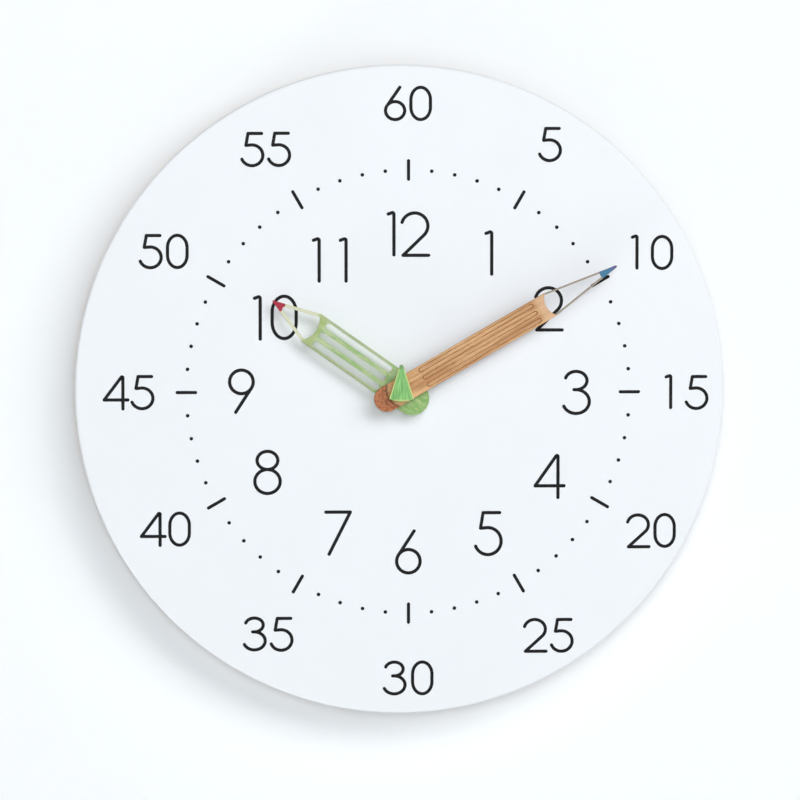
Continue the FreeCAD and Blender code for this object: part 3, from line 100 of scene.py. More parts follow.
def angle(name, description, degrees):
    kind = {"subtype": "ANGLE", "unit": "ROTATION"}
    return FloatProperty(name=name, description=description, default=math.radians(degrees), **kind)


def power(name, description, watts):
    return FloatProperty(name=name, description=description, default=watts, min=0, unit="POWER")


def shade(name, description, *screen):
    kind = {"subtype": "COLOR", "size": 3, "min": 0, "max": 1}
    return FloatVectorProperty(name=name, description=description, default=paint(*screen), **kind)


class ClockBoard(bpy.types.PropertyGroup):
    """The round board and the hollows in its back."""

    edge: length("Front edge", "Radius of the softened front edge", 1.3)
    back_edge: length("Back edge", "Radius of the eased back edge", 0.4)
    pocket_room: length("Pocket room", "Room left round the movement", 1)
    pocket_corner: length("Pocket corner", "Radius of the pocket's corners", 6)
    hole_room: length("Hole room", "Room round the threaded bushing", 0.2)
    hanger_room: length("Hanger room", "Room round the hanger plate in its recess", 0.15)
    nail_room_width: length("Nail room width", "Width of the hollow for the nail's head", 13)
    nail_room_height: length("Nail room height", "Height of the hollow for the nail's head", 21)
    nail_room_depth: length("Nail room depth", "Depth of the hollow behind the hanger plate", 7)
    lacquer: shade("Lacquer", "White lacquer of the board", 238, 243, 248)
    fibre: shade("Fibreboard", "Raw fibreboard of the back and the hollows", 172, 136, 98)


class ClockPrint(bpy.types.PropertyGroup):
    """The numbers and the minute track printed on the board."""

    across: length("Print across", "Middle of the print to the right of the board's middle", 3.7)
    up: length("Print up", "Middle of the print above the board's middle", -1)
    minute_height: length("Minute number height", "Height of the outer numbers, between stroke middles", 14.8)
    minute_stroke: length("Minute number stroke", "Pen width of the outer numbers", 1.5)
    minute_spread: FloatProperty(
        name="Minute number spread", description="How much wider the outer numbers are drawn", default=1.07
    )
    hour_height: length("Hour number height", "Height of the inner numbers, between stroke middles", 19.5)
    hour_stroke: length("Hour number stroke", "Pen width of the inner numbers", 1.54)
    track: length("Minute track", "Radius of the ring of dots and bars", 102.5)
    dot: length("Dot", "Diameter of a minute dot", 1.7)
    bar_length: length("Bar", "Length of a five minute bar with its round ends", 10)
    bar_width: length("Bar width", "Width of a five minute bar", 1.5)
    thickness: length("Ink", "Thickness of the printed ink", 0.04)
    ink: shade("Ink colour", "Colour of the printed numbers", 14, 14, 16)


class ClockHourHand(bpy.types.PropertyGroup):
    """The green pencil with three open slots."""

    shown: angle("Shown at", "Clockwise from 12", 305)
    width: length("Width", "Width of the hand", 15.7)
    tail: length("Tail", "Pivot to the end of the round tail", 14.1)
    shoulder: length("Shoulder", "Pivot to the corners of the collar", 50.1)
    collar: length("Collar", "How far the collar curves in", 2.3)
    reach: length("Reach", "Pivot to the point", 72.2)
    point: length("Point", "Length of the coloured point", 5.8)
    blunt: length("Blunt end", "Radius at the very end of the point", 0.3)
    strut: length("Strut", "Width of the sides of the open end", 1.5)
    slot: length("Slot", "Width of a slot", 3)
    slot_pitch: length("Slot pitch", "From one slot to the next", 5)
    slot_start: length("Slot start", "Pivot to the start of the slots", 8.9)
    slot_end: length("Slot end", "Pivot to the end of the slots", 45.7)
    tube: length("Tube", "Radius of the tube that the hand is pressed on", 2.55)
    pale: shade("Pale stain", "Pale green of the bars", 180, 198, 154)
    deep: shade("Deep stain", "Fuller green of the tail and of some of the grain", 128, 172, 100)
    strut_colour: shade("Open end", "Cream of the sharpened end", 218, 220, 192)
    edge_colour: shade("Edge", "Yellow-olive line along the edges", 176, 184, 106)
    point_colour: shade("Point colour", "Red of the point", 172, 44, 64)


class ClockMinuteHand(bpy.types.PropertyGroup):
    """The wooden pencil with three engraved outlines."""

    shown: angle("Shown at", "Clockwise from 12", 60)
    width: length("Width", "Width of the hand", 11.8)
    tail: length("Tail", "Pivot to the end of the round tail", 13.5)
    shoulder: length("Shoulder", "Pivot to the corners of the collar", 79)
    collar: length("Collar", "How far the collar curves in", 1.9)
    reach: length("Reach", "Pivot to the point", 114.6)
    point: length("Point", "Length of the coloured point", 8.6)
    blunt: length("Blunt end", "Radius at the very end of the point", 0.5)
    strut: length("Strut", "Width of the sides of the open end", 0.8)
    outline: length("Engraved outline", "Width of an engraved outline, line middle to line middle", 1.8)
    outline_pitch: length("Outline pitch", "From one engraved outline to the next", 3.8)
    outline_start: length("Outline start", "Pivot to the start of the outlines", 11.6)
    outline_end: length("Outline end", "Pivot to the end of the outlines", 72.1)
    line: length("Line", "Width of an engraved line", 0.38)
    line_depth: length("Line depth", "Depth of an engraved line", 0.3)
    tube: length("Tube", "Radius of the tube that the hand is pressed on", 1.7)
    wood: shade("Wood", "Lighter wood", 220, 179, 132)
    grain: shade("Grain", "Darker grain of the wood", 178, 128, 84)
    burn: shade("Burn", "Burnt wood in the engraved lines and along the cut", 98, 62, 38)
    engraved: shade("Engraved lines", "Brown of the engraved lines", 136, 82, 44)
    rubber: shade("Tail", "Red-brown tail", 158, 94, 64)
    strut_colour: shade("Open end", "Grey-beige of the sharpened end", 168, 160, 146)
    point_colour: shade("Point colour", "Blue of the point", 66, 120, 152)


class ClockPointer(bpy.types.PropertyGroup):
    """The short green pencil end over the middle of the dial."""

    width: length("Width", "Width at the lower corners", 11.4)
    shoulder: length("Shoulder", "Pivot down to the lower corners", 3.6)
    drop: length("Drop", "Pivot down to the middle of the curved base", 4.8)
    rise: length("Rise", "Pivot up to the top", 12.1)
    tip: length("Tip", "Width at the top", 1.8)
    stain: shade("Stain", "Bright green stain", 146, 202, 126)
    deep: shade("Deep stain", "Darker green of the grain", 100, 162, 88)
    edge_colour: shade("Edge", "Pale yellow line along the edges", 214, 222, 140)


class ClockMovement(bpy.types.PropertyGroup):
    """Colours of the movement and of what holds the clock."""

    case: shade("Case", "Black moulded case", 40, 41, 43)
    plate: shade("Plate", "Natural plate and coil former", 226, 224, 212)
    gear: shade("Gears", "Natural gears", 232, 229, 214)
    gear_red: shade("Motor gears", "Coloured pinion", 186, 66, 52)
    steel: shade("Steel", "Zinc plated steel", 190, 192, 195)
    brass: shade("Brass", "Turned brass", 214, 178, 104)
    copper: shade("Copper", "Enamelled wire", 196, 112, 66)
    rubber: shade("Bumpers", "Soft grey bumpers", 196, 196, 193)
    wrap: shade("Battery sleeve", "Plain sleeve of the cell", 72, 84, 98)
    band: shade("Battery band", "Band at the sleeve's positive end", 206, 160, 92)
    bumper: length("Bumper", "Side of a bumper", 12)
    bumper_corner: length("Bumper corner", "Radius of a bumper's corners", 4)
    groove: length("Knob groove", "Depth of the finger grooves of the setting knob", 0.35)


class ClockStage(bpy.types.PropertyGroup):
    """Wall, floor, light and camera."""

    floor_drop: length("Floor", "Floor below the middle of the clock", 460)
    distance: length("Camera distance", "Camera to the face of the board", 1600)
    azimuth: angle("Camera azimuth", "Camera to the right of square on", -2.5)
    elevation: angle("Camera elevation", "Camera above square on", 2.5)
    view_width: length("View width", "What the picture takes in at the face of the board", 369.8)
    wall: shade("Wall", "Painted wall", 247, 251, 254)
    floor: shade("Floor colour", "Pale floor", 240, 241, 241)
    ambient: FloatProperty(name="Room light", description="Strength of the even light", default=0.1, min=0)
    front: power("Front light", "Power of the even light beside the camera", 20)
    window: power("Window light", "Power of the wide light from the right", 96)
    upper: power("Upper light", "Power of the soft light from the upper right", 42)
    rim: power("Rim light", "Power of the low light from the lower left", 24)
    rear: power("Rear light", "Power of the light behind the wall", 44)


GROUPS = {
    "clock_board": ClockBoard,
    "clock_print": ClockPrint,
    "clock_hour_hand": ClockHourHand,
    "clock_minute_hand": ClockMinuteHand,
    "clock_pointer": ClockPointer,
    "clock_movement": ClockMovement,
    "clock_stage": ClockStage,
}


# Shader expressions


class Value:
    """A shader socket that ordinary sums can be written with."""

    def __init__(self, nodes, socket):
        self.nodes = nodes
        self.socket = socket

    def __add__(self, other):
        return self.nodes.maths("ADD", self, other)

    def __radd__(self, other):
        return self.nodes.maths("ADD", other, self)

    def __sub__(self, other):
        return self.nodes.maths("SUBTRACT", self, other)

    def __rsub__(self, other):
        return self.nodes.maths("SUBTRACT", other, self)

    def __mul__(self, other):
        return self.nodes.maths("MULTIPLY", self, other)

    def __rmul__(self, other):
        return self.nodes.maths("MULTIPLY", other, self)

    def __truediv__(self, other):
        return self.nodes.maths("DIVIDE", self, other)

    def __pow__(self, other):
        return self.nodes.maths("POWER", self, other)

    def __abs__(self):
        return self.nodes.maths("ABSOLUTE", self)


class Nodes:
    """Builds the nodes of one material or of the world."""

    def __init__(self, owner):
        owner.use_nodes = True
        self.tree = owner.node_tree
        self.tree.nodes.clear()

    def feed(self, socket, value):
        if isinstance(value, Value):
            self.tree.links.new(value.socket, socket)
        elif socket.type == "RGBA":
            socket.default_value = (*value, 1)
        else:
            socket.default_value = value

    def node(self, kind, settings=None, inputs=None, output=0):
        """Any node: its settings first, then the values or links of its sockets."""
        node = self.tree.nodes.new(kind)
        for key, value in (settings or {}).items():
            setattr(node, key, value)
        for key, value in (inputs or {}).items():
            self.feed(node.inputs[key], value)
        if isinstance(output, tuple):
            return [Value(self, node.outputs[key]) for key in output]
        return Value(self, node.outputs[output])

    def maths(self, operation, *values):
        return self.node("ShaderNodeMath", {"operation": operation}, dict(enumerate(values)))

    def fade(self, value, start, end):
        """0 up to start, 1 from end on, with a smooth change between."""
        inputs = {"Value": value, "From Min": start, "From Max": end}
        return self.node("ShaderNodeMapRange", {"interpolation_type": "SMOOTHSTEP"}, inputs)

    def mix(self, factor, first, second):
        """The first colour where factor is 0, the second where it is 1."""
        return self.node("ShaderNodeMix", {"data_type": "RGBA"}, {0: factor, 6: first, 7: second}, 2)

    def axes(self, vector):
        return self.node("ShaderNodeSeparateXYZ", None, {0: vector}, (0, 1, 2))

    def joined(self, x, y, z):
        return self.node("ShaderNodeCombineXYZ", None, {0: x, 1: y, 2: z})


class Finish(Nodes):
    """One finish: a principled shader and all that feeds it, with places in millimetres."""

    def __init__(self, name, colour, **constants):
        self.material = bpy.data.materials.new(name)
        super().__init__(self.material)
        self.output = self.tree.nodes.new("ShaderNodeOutputMaterial")
        self.shader = self.tree.nodes.new("ShaderNodeBsdfPrincipled")
        self.tree.links.new(self.shader.outputs[0], self.output.inputs[0])
        for key, value in constants.items():
            self.set(key, value)
        spot, self.normal = self.node("ShaderNodeTexCoord", output=("Object", "Normal"))
        inputs = {0: spot, "Scale": 1 / MM}
        self.place = self.node("ShaderNodeVectorMath", {"operation": "SCALE"}, inputs)
        self.colour = colour

    def set(self, socket, value):
        named = "Specular IOR Level" if socket == "specular" else socket.replace("_", " ").title()
        self.feed(self.shader.inputs[named], value)

    def noise(self, size, detail=2.0, roughness=0.5, twist=0.0, place=None):
        """Cloudy noise; size is its grain in millimetres, one number or one for each axis."""
        place = place or self.place
        if isinstance(size, tuple):
            inputs = {0: place, 1: tuple(1 / one for one in size)}
            place = self.node("ShaderNodeVectorMath", {"operation": "MULTIPLY"}, inputs)
            size = 1
        inputs = {"Vector": place, "Scale": 1 / size, "Detail": detail, "Roughness": roughness}
        return self.node("ShaderNodeTexNoise", None, {**inputs, "Distortion": twist})

    def cut_side(self):
        """1 on the sides of a flat piece and along its eased edges, 0 on its faces."""
        return self.fade(1 - abs(self.axes(self.normal)[2]), 0.03, 0.5)

    def lay(self, factor, colour):
        """Lays a colour over what is there so far, as strongly as factor says."""
        self.colour = self.mix(factor, self.colour, colour)

    def done(self, roughness, relief, depth):
        """Feeds the shader its colour, its roughness and a relief of that many millimetres."""
        inputs = {"Height": relief, "Distance": depth * MM, "Strength": 1.0}
        self.set("base_color", self.colour)
        self.set("roughness", roughness)
        self.set("normal", self.node("ShaderNodeBump", None, inputs))
        return self.material


# Finishes


def tint(colour, strength, lift=0.0):
    """The colour made darker or lighter."""
    return tuple(min(1, part * strength + lift) for part in colour)


def lacquer_finish(board):
    finish = Finish("white_lacquer", board.lacquer, specular=0.2)
    finish.lay(finish.noise(45, 3) * 0.8 + finish.noise(0.9, 2) * 0.2, tint(board.lacquer, 0.965))
    return finish.done(0.46 + 0.16 * finish.noise(6, 3), finish.noise(1.4, 2, 0.4), depth=0.012)


def fibre_finish(board):
    finish = Finish("raw_fibreboard", tint(board.fibre, 0.62), specular=0.2)
    fluff = finish.noise((0.5, 1.6, 0.5), 5, 0.65)
    finish.lay(finish.fade(fluff, 0.3, 0.72), board.fibre)
    return finish.done(0.82 + 0.12 * fluff, fluff, depth=0.18)


def ink_finish(ink):
    finish = Finish("printed_ink", ink, specular=0.12)
    grain = finish.noise(0.35, 3)
    finish.lay(finish.fade(grain, 0.35, 0.8), tint(ink, 1.9, 0.004))
    return finish.done(0.42 + 0.2 * grain, grain, depth=0.006)


def fibres(finish, across, along):
    """Grain that runs along a hand: fine fibres and the short dark pores between them."""
    fine = finish.noise((across, along, across * 2), 4, 0.6, 0.25)
    pores = finish.noise((across * 0.55, along * 0.28, across), 2)
    return fine, finish.fade(pores, 0.6, 0.72)


def minute_hand_finish(hand):
    finish = Finish("natural_wood", hand.grain, specular=0.3)
    across, along, height = finish.axes(finish.place)
    fine, pores = fibres(finish, 0.26, 13)
    figure = finish.noise((2.6, 46, 4), 2, 0.5, 0.6)
    finish.lay(finish.fade(fine * 0.55 + figure * 0.45, 0.36, 0.64), hand.wood)
    finish.lay(pores * 0.6, tint(hand.grain, 0.45))
    finish.lay(finish.fade(finish.noise((5, 16, 5), 2), 0.45, 0.8) * 0.35, paint(206, 140, 90))
    dark_lines = finish.noise((0.34, 30, 0.7), 3, 0.55, 0.3)
    finish.lay(finish.fade(dark_lines, 0.56, 0.68) * 0.45, paint(150, 100, 62))

    # the open end is greyer, and the point is blue
    shoulder, tip = hand.shoulder / MM, hand.reach / MM
    base = tip - hand.point / MM
    wobble = finish.noise(0.8, 2) * 0.5 - 0.25
    finish.lay(finish.fade(along, shoulder - 7, shoulder - 4) * 0.5, paint(226, 194, 160))
    strut = finish.fade(along + wobble, shoulder - 0.5, shoulder + 1.2)
    finish.lay(strut, finish.mix(fine, tint(hand.strut_colour, 0.72), hand.strut_colour))
    towards_tip = finish.fade(along + fine * 3, tip - 3.5, tip + 0.5)
    blue = finish.mix(towards_tip, hand.point_colour, paint(92, 90, 138))
    blue = finish.mix(pores * 0.4, blue, tint(hand.point_colour, 1.7))
    finish.lay(finish.fade(along + wobble - across * across * 0.05, base - 0.15, base + 0.15), blue)

    # the tail is red-brown beyond two burnt arcs
    half = hand.width / MM / 2
    ragged = finish.noise((0.8, 1.2, 0.8), 3, 0.65) * 1.8 - 0.9
    bowed = along - 2.3 * (across * across / (half * half)) + ragged
    streaks = finish.fade(finish.noise((0.9, 2.2, 0.9), 4, 0.7), 0.42, 0.66)
    rubber = finish.mix(streaks, paint(186, 122, 82), hand.rubber)
    blotch = finish.fade(finish.noise((1.1, 1.6, 1.1), 3, 0.6), 0.5, 0.62)
    rubber = finish.mix(blotch * 0.6, rubber, tint(hand.rubber, 0.4))
    finish.lay(finish.fade(bowed, -6.6, -7.0), rubber)
    first_arc = 1 - finish.fade(abs(bowed + 6.7), 0.3, 0.85)
    second_arc = 1 - finish.fade(abs(bowed + 8.8), 0.1, 0.5)
    burnt = finish.maths("MAXIMUM", first_arc * 0.8, second_arc * 0.5)

    # the engraved lines are darkest at their ends, where the cutter turned
    back, front = levels("minute_hand")
    face = (front - back) / 2 / MM
    groove = 1 - finish.fade(height, face - 0.2, face - 0.05)
    inner = finish.maths("LESS_THAN", abs(across), half - 0.4)
    to_end = finish.maths("MINIMUM", along - hand.outline_start / MM, hand.outline_end / MM - along)
    turned = 1 - finish.fade(to_end + ragged, 0.8, 4)
    streaky = finish.fade(finish.noise((0.9, 5, 0.9), 3, 0.6), 0.35, 0.65)
    strength = finish.maths("MAXIMUM", turned, 0.42 + 0.4 * streaky)
    finish.lay(groove * inner * strength, hand.engraved)

    # the cutter also burnt the sides, but not the blue point
    scorch = finish.fade(finish.noise((1.2, 9, 1.2), 2), 0.25, 0.7)
    burnt = finish.maths("MAXIMUM", burnt, finish.cut_side() * scorch * 0.65)
    burnt = burnt * (1 - finish.fade(along, base - 0.3, base)) * (1 - strut * 0.55)
    finish.lay(burnt, hand.burn)
    return finish.done(0.5 + 0.22 * fine, fine * 0.6 - pores * 0.5, depth=0.05)


def hour_hand_finish(hand):
    finish = Finish("pale_green_stain", hand.pale, specular=0.3)
    across, along = finish.axes(finish.place)[:2]
    fine, pores = fibres(finish, 0.4, 8)
    patches = finish.noise((2.2, 9, 2.2), 3, 0.6, 0.5)
    grain = finish.fade(patches * 0.6 + fine * 0.4, 0.4, 0.6) * 0.8
    tail = 1 - finish.fade(along + patches * 8, -2, 12)
    hatch = finish.maths("SINE", (across * 0.8 - along) * 4.2) * 0.5 + 0.5
    finish.lay(finish.maths("MINIMUM", grain + tail * (0.45 + 0.25 * hatch), 1.0), hand.deep)
    finish.lay(pores * 0.3, tint(hand.deep, 0.55))

    # the open end is cream, and what follows up to the point keeps off it
    shoulder, tip = hand.shoulder / MM, hand.reach / MM
    base = tip - hand.point / MM
    wobble = finish.noise(0.8, 2) * 0.5 - 0.25
    strut = finish.fade(along + wobble, shoulder - 0.6, shoulder + 1.6)
    finish.lay(strut, finish.mix(fine, tint(hand.strut_colour, 0.85), hand.strut_colour))
    body = 1 - strut
    mottle = finish.fade(finish.noise((1.3, 3.4, 1.3), 3, 0.6), 0.5, 0.66)
    finish.lay(mottle * body * 0.55, paint(192, 204, 150))
    pitch = hand.slot_pitch / MM
    outer = finish.fade(abs(across), pitch + 1.3, pitch + 1.7) * body * finish.fade(along, 9, 16)
    finish.lay(outer * (0.3 + 0.4 * fine), paint(164, 170, 148))
    collar = finish.fade(along + wobble * 3, shoulder - 5, shoulder - 3) * body
    finish.lay(collar * 0.5, paint(168, 178, 112))
    finish.lay(finish.cut_side() * (0.55 + 0.4 * finish.fade(fine, 0.35, 0.65)), hand.edge_colour)
    half = hand.width / MM / 2
    # painted shade: a darker olive band along one long side of the hand
    painted_shade_side = finish.fade(wobble - across, half - 0.9, half - 0.3) * body
    finish.lay(painted_shade_side * 0.6, paint(140, 150, 98))
    red = finish.mix(finish.fade(fine, 0.3, 0.7), tint(hand.point_colour, 0.75), hand.point_colour)
    finish.lay(finish.fade(along + wobble - across * across * 0.09, base - 0.7, base - 0.3), red)
    return finish.done(0.5 + 0.22 * fine, fine * 0.6 - pores * 0.5, depth=0.05)


def pointer_finish(pointer):
    finish = Finish("bright_green_stain", pointer.deep, specular=0.3)
    across, along = finish.axes(finish.place)[:2]
    low, high = -pointer.shoulder / MM, pointer.rise / MM
    half, tip = pointer.width / MM / 2, pointer.tip / MM / 2
    narrowing = (half - tip) / (high - low)
    # the grain fans out from the tip, so it is drawn on lines that run to it
    fan = across / finish.maths("MAXIMUM", high + tip / narrowing - along, 0.5)
    lines = finish.noise(1, 4, 0.6, 0.2, finish.joined(fan * 24, along * 0.09, 0))
    finish.lay(finish.fade(lines, 0.36, 0.66), pointer.stain)
    glint = finish.noise(1, 2, place=finish.joined(fan * 38, along * 0.14, 3))
    finish.lay(finish.fade(glint, 0.52, 0.7) * 0.55, paint(176, 226, 160))
    margin = half - (along - low) * narrowing - abs(across)
    sides = 1 - finish.fade(margin + lines * 0.5, 0.6, 1.05)
    foot = 1 - finish.fade(along + lines * 0.6, low - 0.4, low + 0.3)
    finish.lay(finish.maths("MAXIMUM", sides, foot * 0.6) * 0.85, pointer.edge_colour)
    finish.lay(finish.fade(along, high - 2.4, high - 1.5), paint(118, 156, 104))
    return finish.done(0.5 + 0.2 * lines, lines, depth=0.06)


def moulded(name, colour, grain=0.22, depth=0.02, roughness=0.5):
    """Moulded plastic: fine spark-eroded grain and faint flow marks."""
    finish = Finish(name, tint(colour, 0.86))
    fine = finish.noise(grain, 3, 0.6)
    finish.lay(finish.noise((60, 15, 20), 2) * 0.6 + fine * 0.4, tint(colour, 1.18, 0.004))
    return finish.done(roughness - 0.08 + 0.18 * fine, fine, depth)


def brushed(name, colour, lay, roughness=0.32):
    """Metal with its grain along one direction; lay is the size of that grain for each axis."""
    finish = Finish(name, tint(colour, 0.8), metallic=1.0)
    hair = finish.noise(lay, 4, 0.65)
    stain = finish.noise(7, 3)
    finish.lay(stain * 0.6 + hair * 0.4, tint(colour, 1.1))
    return finish.done(roughness + 0.2 * hair + 0.08 * stain, hair, depth=0.012)


def rubbery(name, colour):
    finish = Finish(name, tint(colour, 0.78), specular=0.35)
    dust = finish.noise(3, 4, 0.65)
    finish.lay(dust, colour)
    return finish.done(0.62 + 0.25 * dust, finish.noise(0.18, 2), depth=0.02)


def brass_finish(brass):
    """Brass turned about the hands' axis, with fine rings on its faces."""
    finish = Finish("turned_brass", tint(brass, 1.08), metallic=1.0)
    x, y, z = finish.axes(finish.place)
    radius = (x * x + z * z) ** 0.5
    ring = finish.noise(1, 3, 0.6, place=finish.joined(radius * 6, y * 6, 0))
    tarnish = finish.noise(2.4, 4, 0.6)
    finish.lay(tarnish * 0.7 + ring * 0.3, tint(brass, 0.68))
    return finish.done(0.26 + 0.22 * tarnish, ring, depth=0.01)


def winding_finish(copper):
    """Enamelled wire wound side by side along X, with painted shade in the grooves between the turns."""
    wire = 0.16
    finish = Finish("wound_copper", tint(copper, 0.3), metallic=0.85, coat_weight=0.6)
    x = finish.axes(finish.place)[0]
    sway = finish.noise(1.6, 2) * 0.05
    turn = abs(finish.maths("SINE", (x + sway) * (math.pi / wire)))
    # the copper is laid on the round of each turn; the dark base colour left between the turns is painted
    # shade
    finish.lay(finish.fade(turn, 0.05, 0.5), copper)
    return finish.done(0.28 + 0.12 * turn, turn, depth=0.05)


def laminate_finish():
    """Green solder mask over tracks, on glass laminate."""
    finish = Finish("circuit_laminate", paint(26, 84, 44), coat_weight=0.3)
    x, z = finish.axes(finish.place)[::2]
    bends = finish.fade(finish.noise(5, 1), 0.45, 0.55) * 2.4
    track = finish.fade(abs(finish.maths("SINE", z * 1.9 + bends)), 0.82, 0.9)
    weave = abs(finish.maths("SINE", x * 6)) * abs(finish.maths("SINE", z * 6))
    finish.lay(weave * 0.5, paint(34, 98, 52))
    finish.lay(track, paint(58, 132, 66))
    return finish.done(0.34 + 0.1 * weave, track, depth=0.03)


def sleeve_finish(look):
    """Plain sleeve of the cell, with a band at the positive end and bare steel ends."""
    finish = Finish("cell_sleeve", tint(look.wrap, 0.8), coat_weight=0.25)
    low, high = (corner.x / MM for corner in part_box("battery_cell"))
    x = finish.axes(finish.place)[0]
    scuff = finish.noise((9, 0.5, 0.5), 4, 0.7)
    finish.lay(scuff, look.wrap)
    finish.lay(finish.maths("GREATER_THAN", x, high - 12), look.band)
    minus = 1 - finish.fade(x, low + 0.5, low + 0.65)
    bare = finish.maths("MAXIMUM", finish.fade(x, high - 1.75, high - 1.6), minus)
    finish.lay(bare, paint(196, 198, 200))
    finish.set("metallic", 0.25 + 0.7 * bare)
    return finish.done(0.3 + 0.2 * scuff, scuff, depth=0.01)


# Shapes

CORNERS = ((1, 1), (-1, 1), (-1, -1), (1, -1))
COLUMNS = (-1, 0, 1)
BEYOND = 1 * MM  # how far a cutter stands out past the face that it cuts


def to_front(shown=0.0, height=0.0):
    """Placement of a flat piece drawn in X and Y, facing the viewer, turned clockwise by shown."""
    upright = Matrix(((1, 0, 0, 0), (0, 0, -1, -height), (0, 1, 0, 0), (0, 0, 0, 1)))
    return upright @ Matrix.Rotation(-shown, 4, "Z")


def arc(centre, radius, first, last, steps):
    """Points of an arc; radius is one number or one for each axis, angles in degrees."""
    wide, high = radius if isinstance(radius, tuple) else (radius, radius)
    points = []
    for step in range(steps + 1):
        turn = math.radians(first + (last - first) * step / steps)
        points.append((centre[0] + wide * math.cos(turn), centre[1] + high * math.sin(turn)))
    return points


def circle(radius, steps=64):
    return arc((0, 0), radius, 0, 360, steps)[:-1]


def stadium(half_width, start, end, across):
    """A slot with round ends that stands upright."""
    upper = arc((across, end - half_width), half_width, 0, 180, steps=14)
    return upper + arc((across, start + half_width), half_width, 180, 360, steps=14)


def rounded_box(half_width, half_height, corner):
    points = []
    for quarter, (x, y) in enumerate(CORNERS):
        centre = (x * (half_width - corner), y * (half_height - corner))
        points += arc(centre, corner, 90 * quarter, 90 * quarter + 90, steps=10)
    return points


def put(name, data):
    """A new object in the scene."""
    item = bpy.data.objects.new(name, data)
    bpy.context.scene.collection.objects.link(item)
    return item


def mesh_of(name, build):
    """Fills a new mesh, cleans its seams and points its faces outwards."""
    shape = bmesh.new()
    build(shape)
    bmesh.ops.remove_doubles(shape, verts=shape.verts, dist=1e-7)
    bmesh.ops.recalc_face_normals(shape, faces=shape.faces)
    mesh = bpy.data.meshes.new(name)
    shape.to_mesh(mesh)
    shape.free()
    return mesh


def smooth(mesh):
    """Smooth shading, except across edges sharper than 32 degrees."""
    mesh.polygons.foreach_set("use_smooth", [True] * len(mesh.polygons))
    mesh.set_sharp_from_angle(angle=math.radians(32))
    return mesh


def cut_sheet(name, loops, back, front, ease=0.0):
    """A flat sheet cut along closed outlines, its edges eased; inner outlines are openings."""
    curve = bpy.data.curves.new(name, "CURVE")
    curve.dimensions = "2D"
    curve.fill_mode = "BOTH"
    curve.extrude = (front - back) / 2 - ease
    curve.bevel_depth = ease
    curve.bevel_resolution = 2
    curve.offset = -ease
    for loop in loops:
        spline = curve.splines.new("POLY")
        spline.points.add(len(loop) - 1)
        for point, place in zip(spline.points, loop):
            point.co = (*place, 0, 1)
        spline.use_cyclic_u = True
    holder = put(name, curve)
    bpy.context.view_layer.update()
    flat = bpy.data.meshes.new_from_object(holder)
    bpy.data.objects.remove(holder)
    bpy.data.curves.remove(curve)
    flat.transform(Matrix.Translation((0, 0, (front + back) / 2)))
    mesh = mesh_of(name, lambda shape: shape.from_mesh(flat))
    bpy.data.meshes.remove(flat)
    return mesh


def lathe(name, profile, steps):
    """A solid turned about Z from (radius, height) points; closed at the axis."""

    def build(shape):
        rings = []
        for radius, height in profile:
            around = circle(radius, steps) if radius else [(0, 0)]
            rings.append([shape.verts.new((x, y, height)) for x, y in around])
        for lower, upper in zip(rings, rings[1:]):
            for one in range(steps):
                two = (one + 1) % steps
                corners = [lower[one % len(lower)], lower[two % len(lower)]]
                corners += [upper[two % len(upper)], upper[one % len(upper)]]
                kept = list(dict.fromkeys(corners))
                if len(kept) > 2:
                    shape.faces.new(kept)

    return mesh_of(name, build)


def carved(name, mesh, cutters):
    """The mesh with the cutters taken out of it; cut faces keep the cutter's material."""
    holder = put(name, mesh)
    used = [holder]
    for cutter in cutters:
        cut = holder.modifiers.new("cut", "BOOLEAN")
        cut.operation = "DIFFERENCE"
        cut.solver = "EXACT"
        cut.material_mode = "TRANSFER"
        cut.object = put("cutter", cutter)
        used.append(cut.object)
    bpy.context.view_layer.update()
    result = bpy.data.meshes.new_from_object(holder.evaluated_get(bpy.context.evaluated_depsgraph_get()))
    bpy.data.batch_remove([item.data for item in used] + used)
    result.name = name
    return result


def add_piece(name, mesh, body, finish, replaced=None, placement=None):
    """Puts a piece in the scene, on the body that carries it and in place of a node."""
    piece = put(name, mesh)
    if finish:
        mesh.materials.clear()
        mesh.materials.append(finish)
    if placement:
        piece.matrix_world = placement
    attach(piece, body)
    if replaced:
        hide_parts(replaced)


def dress(finish, *nodes):
    """Gives solids that keep their shape a finish."""
    for node in nodes:
        solid = frame["nodes"][node]
        if not solid.material_slots:
            solid.data.materials.append(finish)
        for slot in solid.material_slots:
            slot.material = finish


# The dial print

# Pen strokes of each figure, one unit high: arcs are (x, y, wide, high, first, last) in degrees,
# points are (x, y), and each row of them is one stroke.
FIGURES = {
    "0": (((0.284, 0.62, 0.284, 0.38, 0, 180), (0.284, 0.38, 0.284, 0.38, 180, 360), (0.568, 0.62)),),
    "1": (((-0.135, 0.965), (-0.04, 0.96, 0.04, 0.04, 90, 0), (0, 0)),),
    "2": (((0.305, 0.695, 0.312, 0.305, 164, -44), (0.03, 0)), ((0.03, 0), (0.636, 0))),
    "3": (
        ((0.3, 0.783, 0.26, 0.217, 163, -90), (0.25, 0.566)),
        ((0.25, 0.566), (0.3, 0.283, 0.316, 0.283, 90, -157)),
    ),
    "4": (((0.545, 0), (0.52, 0.975, 0.025, 0.025, 0, 140), (0, 0.28)), ((0, 0.28), (0.69, 0.28))),
    "5": (
        ((0.57, 1), (0.175, 1)),
        ((0.175, 1), (0.115, 0.63)),
        ((0.115, 0.63), (0.29, 0.322, 0.315, 0.322, 96, -158)),
    ),
    "6": (((0.416, 1), (0.05, 0.436)), ((0.279, 0.279, 0.279, 0.279, 0, 360),)),
    "7": (((0, 1), (0.58, 1)), ((0.58, 1), (0.075, 0))),
    "8": (((0.3, 0.785, 0.245, 0.215, 0, 360),), ((0.3, 0.285, 0.3, 0.285, 0, 360),)),
    "9": (((0.143, 0), (0.509, 0.564)), ((0.28, 0.721, 0.279, 0.279, 0, 360),)),
}

